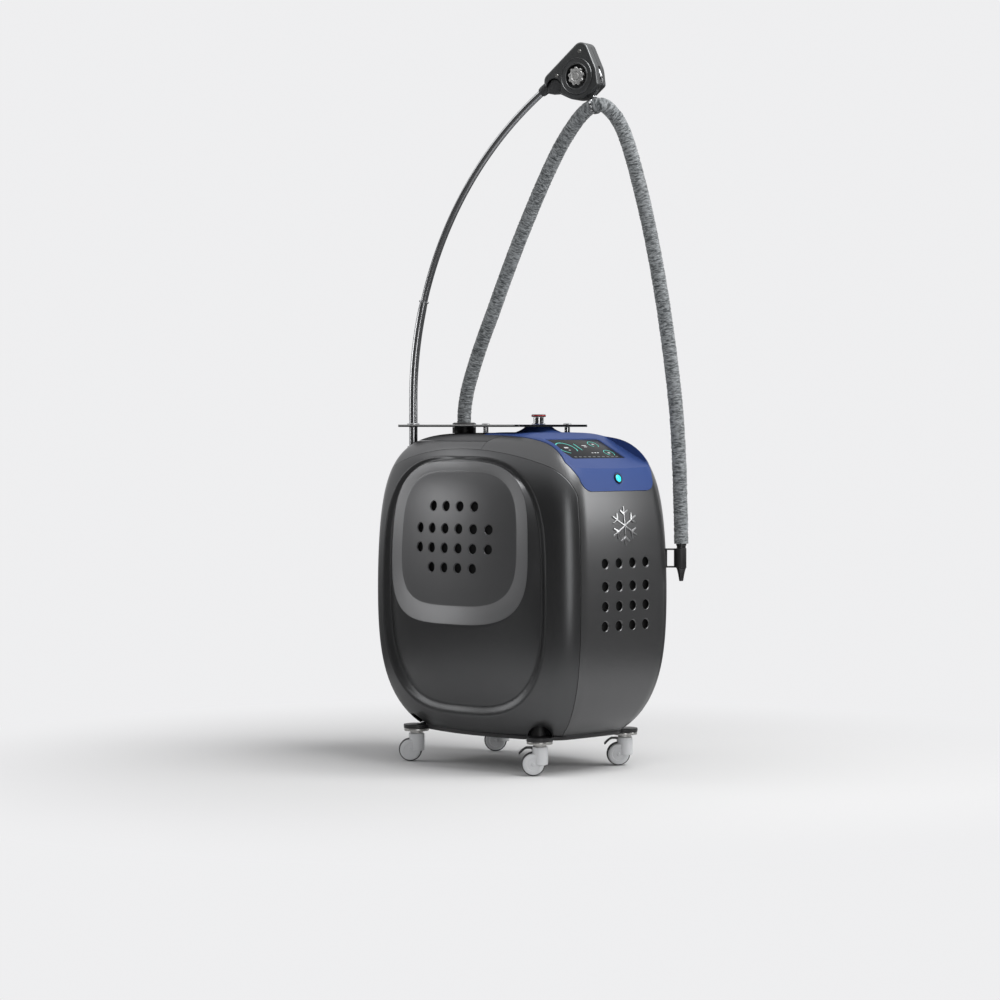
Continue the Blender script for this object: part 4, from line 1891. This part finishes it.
def snow_outline():
    fork = SNOW_RADIUS * TWIG_SHARE
    twig = Vector((0, fork)) + Vector((sin(TWIG_LEAN), cos(TWIG_LEAN))) * TWIG_LENGTH
    across = Vector((cos(TWIG_LEAN), -sin(TWIG_LEAN))) * SNOW_BAR
    base = SNOW_BAR / sin(TWIG_LEAN)
    step = SNOW_BAR * (1 + cos(TWIG_LEAN)) / sin(TWIG_LEAN)
    left = [Vector((-SNOW_BAR, SNOW_BAR / CORNER_SLOPE)), Vector((-SNOW_BAR, fork - step)), mirrored(twig + across),
            mirrored(twig - across), Vector((-SNOW_BAR, fork + base + step - SNOW_BAR)),
            Vector((-SNOW_BAR, SNOW_RADIUS - SNOW_BAR)), Vector((0, SNOW_RADIUS))]
    arm = left + [mirrored(p) for p in left[-2:0:-1]]
    return [(p.x * cos(turn) + p.y * sin(turn), p.y * cos(turn) - p.x * sin(turn))
            for turn in (k * pi / 3 for k in range(6)) for p in arm]


snowflake = plate("snowflake", snow_outline(), 0.0, SNOW_HEIGHT)
bevel_faces(snowflake, lambda p, n: n.z > 0.9, offset=0.0007, segments=2)
for v in snowflake.data.vertices:
    v.co = front_point(v.co.x, SNOW_MIDDLE + v.co.y, SNOW_LIFT + v.co.z)
finish_piece(snowflake, satin_chrome, "cabinet", 30)
stand_in(snowflake, "snowflake_emblem", "chrome")
print("snowflake faces:", len(snowflake.data.polygons))

# %% [markdown]
# The shelf is a dark glass plate with round corners and polished edges. Its outline
# is extruded, drilled by Booleans and bevelled. Weighted normals then let the large
# flat faces keep their own shading, so that the narrow round edges don't smear
# crosses over the plate. More rounding steps would only make the smear narrower.

# %% Shelf
SHELF_TOP, SHELF_THICKNESS = 0.705, 0.005
POST_X, POSTS_Y = 0.095, {"front": -0.045, "rear": 0.197}
HOLES = [(0, STOP_Y, 0.0270), (0, HOSE_Y, 0.0203), (POLE.x, POLE.y, 0.0113)]
HOLES += [(POST_X, y, 0.0033) for y in POSTS_Y.values()]

shelf = plate("shelf_glass", rounded(-0.105, 0.105, -0.100, 0.266, 0.012, 12), SHELF_TOP - SHELF_THICKNESS, SHELF_TOP)
for x, y, radius in HOLES:
    cut(shelf, hole_tool("drill_tool", radius, 0.69, 0.72, (x, y, 0)))
bevelled(shelf, 0.0006, 2)
finish_piece(shelf, shelf_glass, "cabinet", 30)
weighted = shelf.modifiers.new("weighted", "WEIGHTED_NORMAL")
weighted.weight = 100
weighted.keep_sharp = True
apply_all(shelf)
stand_in(shelf, "shelf", "black_glass")
print("shelf faces:", len(shelf.data.polygons))

# %% [markdown]
# Two chrome posts carry the shelf. The hose collar comes up through it with its
# lock ring, and the pole through a grommet, down into its socket. All are lathe
# shapes, and their feet ask the form how high the cabinet's top is under them.

# %% Posts, collar and pole fittings
POST_FOOT_REACH, COLLAR_REACH = 0.006, 0.025

for name, y in POSTS_Y.items():
    foot = 0.0015 + max(crown_height(POST_X - POST_FOOT_REACH, abs(y + way * POST_FOOT_REACH)) for way in (1, -1))
    fitting("post_" + name, "shelf_post_" + name, (POST_X, y, 0),
            [(0.0, foot), (0.0068, foot), (0.0068, foot + 0.0012), (0.0060, foot + 0.0020), (0.0060, 0.6990),
             (0.0054, 0.6997), (0.0030, 0.6997), (0.0030, 0.7053), (0.0088, 0.7053), (0.0090, 0.7058), (0.0088, 0.7066),
             (0.0076, 0.7074), (0.0050, 0.7081), (0.0, 0.7083)], chrome, "chrome")
flange = crown_height(0, HOSE_Y - COLLAR_REACH) + 0.0004
fitting("outlet_collar", "hose_collar", (0, HOSE_Y, 0),
        [(0.0140, 0.655), (0.0200, 0.655), (0.0200, flange), (0.0246, flange), (0.0250, flange + 0.0005),
         (0.0250, 0.6990), (0.0245, 0.6997), (0.0200, 0.6997), (0.0200, 0.7080), (0.0197, 0.7088), (0.0188, 0.7090),
         (0.0166, 0.7090), (0.0157, 0.7082), (0.0156, 0.6900), (0.0140, 0.6900), (0.0140, 0.655)], black_plastic,
        "black_plastic")
fitting("lock_ring", "hose_lock_ring", (0, HOSE_Y, 0),
        [(0.0203, 0.7053), (0.0246, 0.7053), (0.0250, 0.7057), (0.0250, 0.7070), (0.0246, 0.7076), (0.0222, 0.7090),
         (0.0208, 0.7093), (0.0203, 0.7090), (0.0203, 0.7053)], black_plastic, "black_plastic")
fitting("pole_grommet", "shelf_grommet", POLE,
        [(0.0093, 0.7000), (0.0110, 0.7000), (0.0110, 0.7053), (0.0132, 0.7053), (0.0135, 0.7057), (0.0135, 0.7066),
         (0.0130, 0.7073), (0.0118, 0.7078), (0.0098, 0.7078), (0.0093, 0.7074), (0.0093, 0.7000)], chrome, "chrome")
socket_top = crown_height(POLE.x, POLE.y) + 0.006
fitting("socket_sleeve", "pole_socket", POLE,
        [(0.0096, 0.5660), (0.0125, 0.5600), (0.0125, socket_top - 0.0012), (0.0121, socket_top - 0.0003),
         (0.0112, socket_top), (0.0102, socket_top), (0.0096, socket_top - 0.0006), (0.0096, 0.5660)], black_plastic,
        "black_plastic")
print("fittings done")

# %% [markdown]
# The nozzle is a lathe shape: a ribbed connector with soft ribs that the sleeve is
# clamped on, and a tapered tip with a bore. Ribs of equal shape come from a loop.

# %% Nozzle
NOZZLE = Vector((0.16677, -0.29902, 0))
CONNECTOR_FOOT, RIB_PITCH = 0.4110, 0.0125

ribs = [(0.0040, CONNECTOR_FOOT), (0.0096, CONNECTOR_FOOT), (0.0105, CONNECTOR_FOOT + 0.0006)]
for k in range(4):
    low = CONNECTOR_FOOT + RIB_PITCH * k
    ribs += [(0.0105, low + 0.0030), (0.0100, low + 0.0036), (0.0092, low + 0.0044), (0.0092, low + 0.0080),
             (0.0100, low + 0.0088), (0.0105, low + 0.0094)]
ribs += [(0.0105, 0.4604), (0.0100, 0.4610), (0.0040, 0.4610), (0.0040, CONNECTOR_FOOT)]
fitting("connector", "nozzle_connector", NOZZLE, ribs, nozzle_plastic, "black_plastic")
fitting("air_tip", "nozzle_tip", NOZZLE,
        [(0.0026, 0.3847), (0.0036, 0.3847), (0.0041, 0.3852), (0.0046, 0.3880), (0.0062, 0.3980), (0.0078, 0.4050),
         (0.0089, 0.4090), (0.0094, 0.4100), (0.0094, 0.4107), (0.0026, 0.4107), (0.0026, 0.3847)], nozzle_plastic,
        "black_plastic")
print("nozzle done")

# %% [markdown]
# The nozzle's holder is a cut ring on two short arms, the base plate a flat outline
# with an ear at each caster, and the power inlet a recessed block. Their solids have
# the right shape and only too sharp edges, so they are copied, merged, cleared of
# needless edges and bevelled, which is safer than modelling them a second time.

# %% Softened solids
def softened(node_name, width):
    """A merged copy of a node's solid with rounded edges."""
    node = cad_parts[node_name]
    mesh = node.data.copy()
    mesh.transform(node.matrix_world)
    made = bpy.data.objects.new("soft_" + node_name, mesh)
    bpy.context.scene.collection.objects.link(made)
    select_only(made)
    bpy.ops.object.mode_set(mode="EDIT")
    bpy.ops.mesh.select_all(action="SELECT")
    bpy.ops.mesh.remove_doubles(threshold=0.00001)
    bpy.ops.mesh.dissolve_limited(angle_limit=radians(1))
    bevelled(weld(made), width, 3, 40)
    finish_piece(made, black_plastic, "cabinet", 30)
    stand_in(made, node_name, "black_plastic")


for node_name, width in (("nozzle_holder", 0.0005), ("base_plate", 0.0008), ("power_inlet", 0.0004)):
    softened(node_name, width)
print("softened solids done")

# %% [markdown]
# The solids inside the cabinet stay as they are. They get their finish here, by
# assigning to the material slots of each loaded object. The list reads like a parts
# list: finish first, then the pieces that have it.

# %% Finishes for the nodes that stay
FINISHES = {
    black_plastic: ["fan_shroud", "fan", "blower_housing", "impeller", "outlet_duct", "compressor"],
    zinc: ["power_supply"],
    aluminium: ["condenser", "evaporator", "heater"],
    board_green: ["control_board"],
}
finished = []
for finish, names in FINISHES.items():
    for name in names:
        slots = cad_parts[name].data.materials
        slots.clear()
        slots.append(finish)
        finished.append(name)
print("finished nodes:", len(finished))
bare = [name for name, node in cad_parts.items() if not node.hide_render and name not in finished]
print("without a finish:", bare)

# %% Finish
print("boxes written")
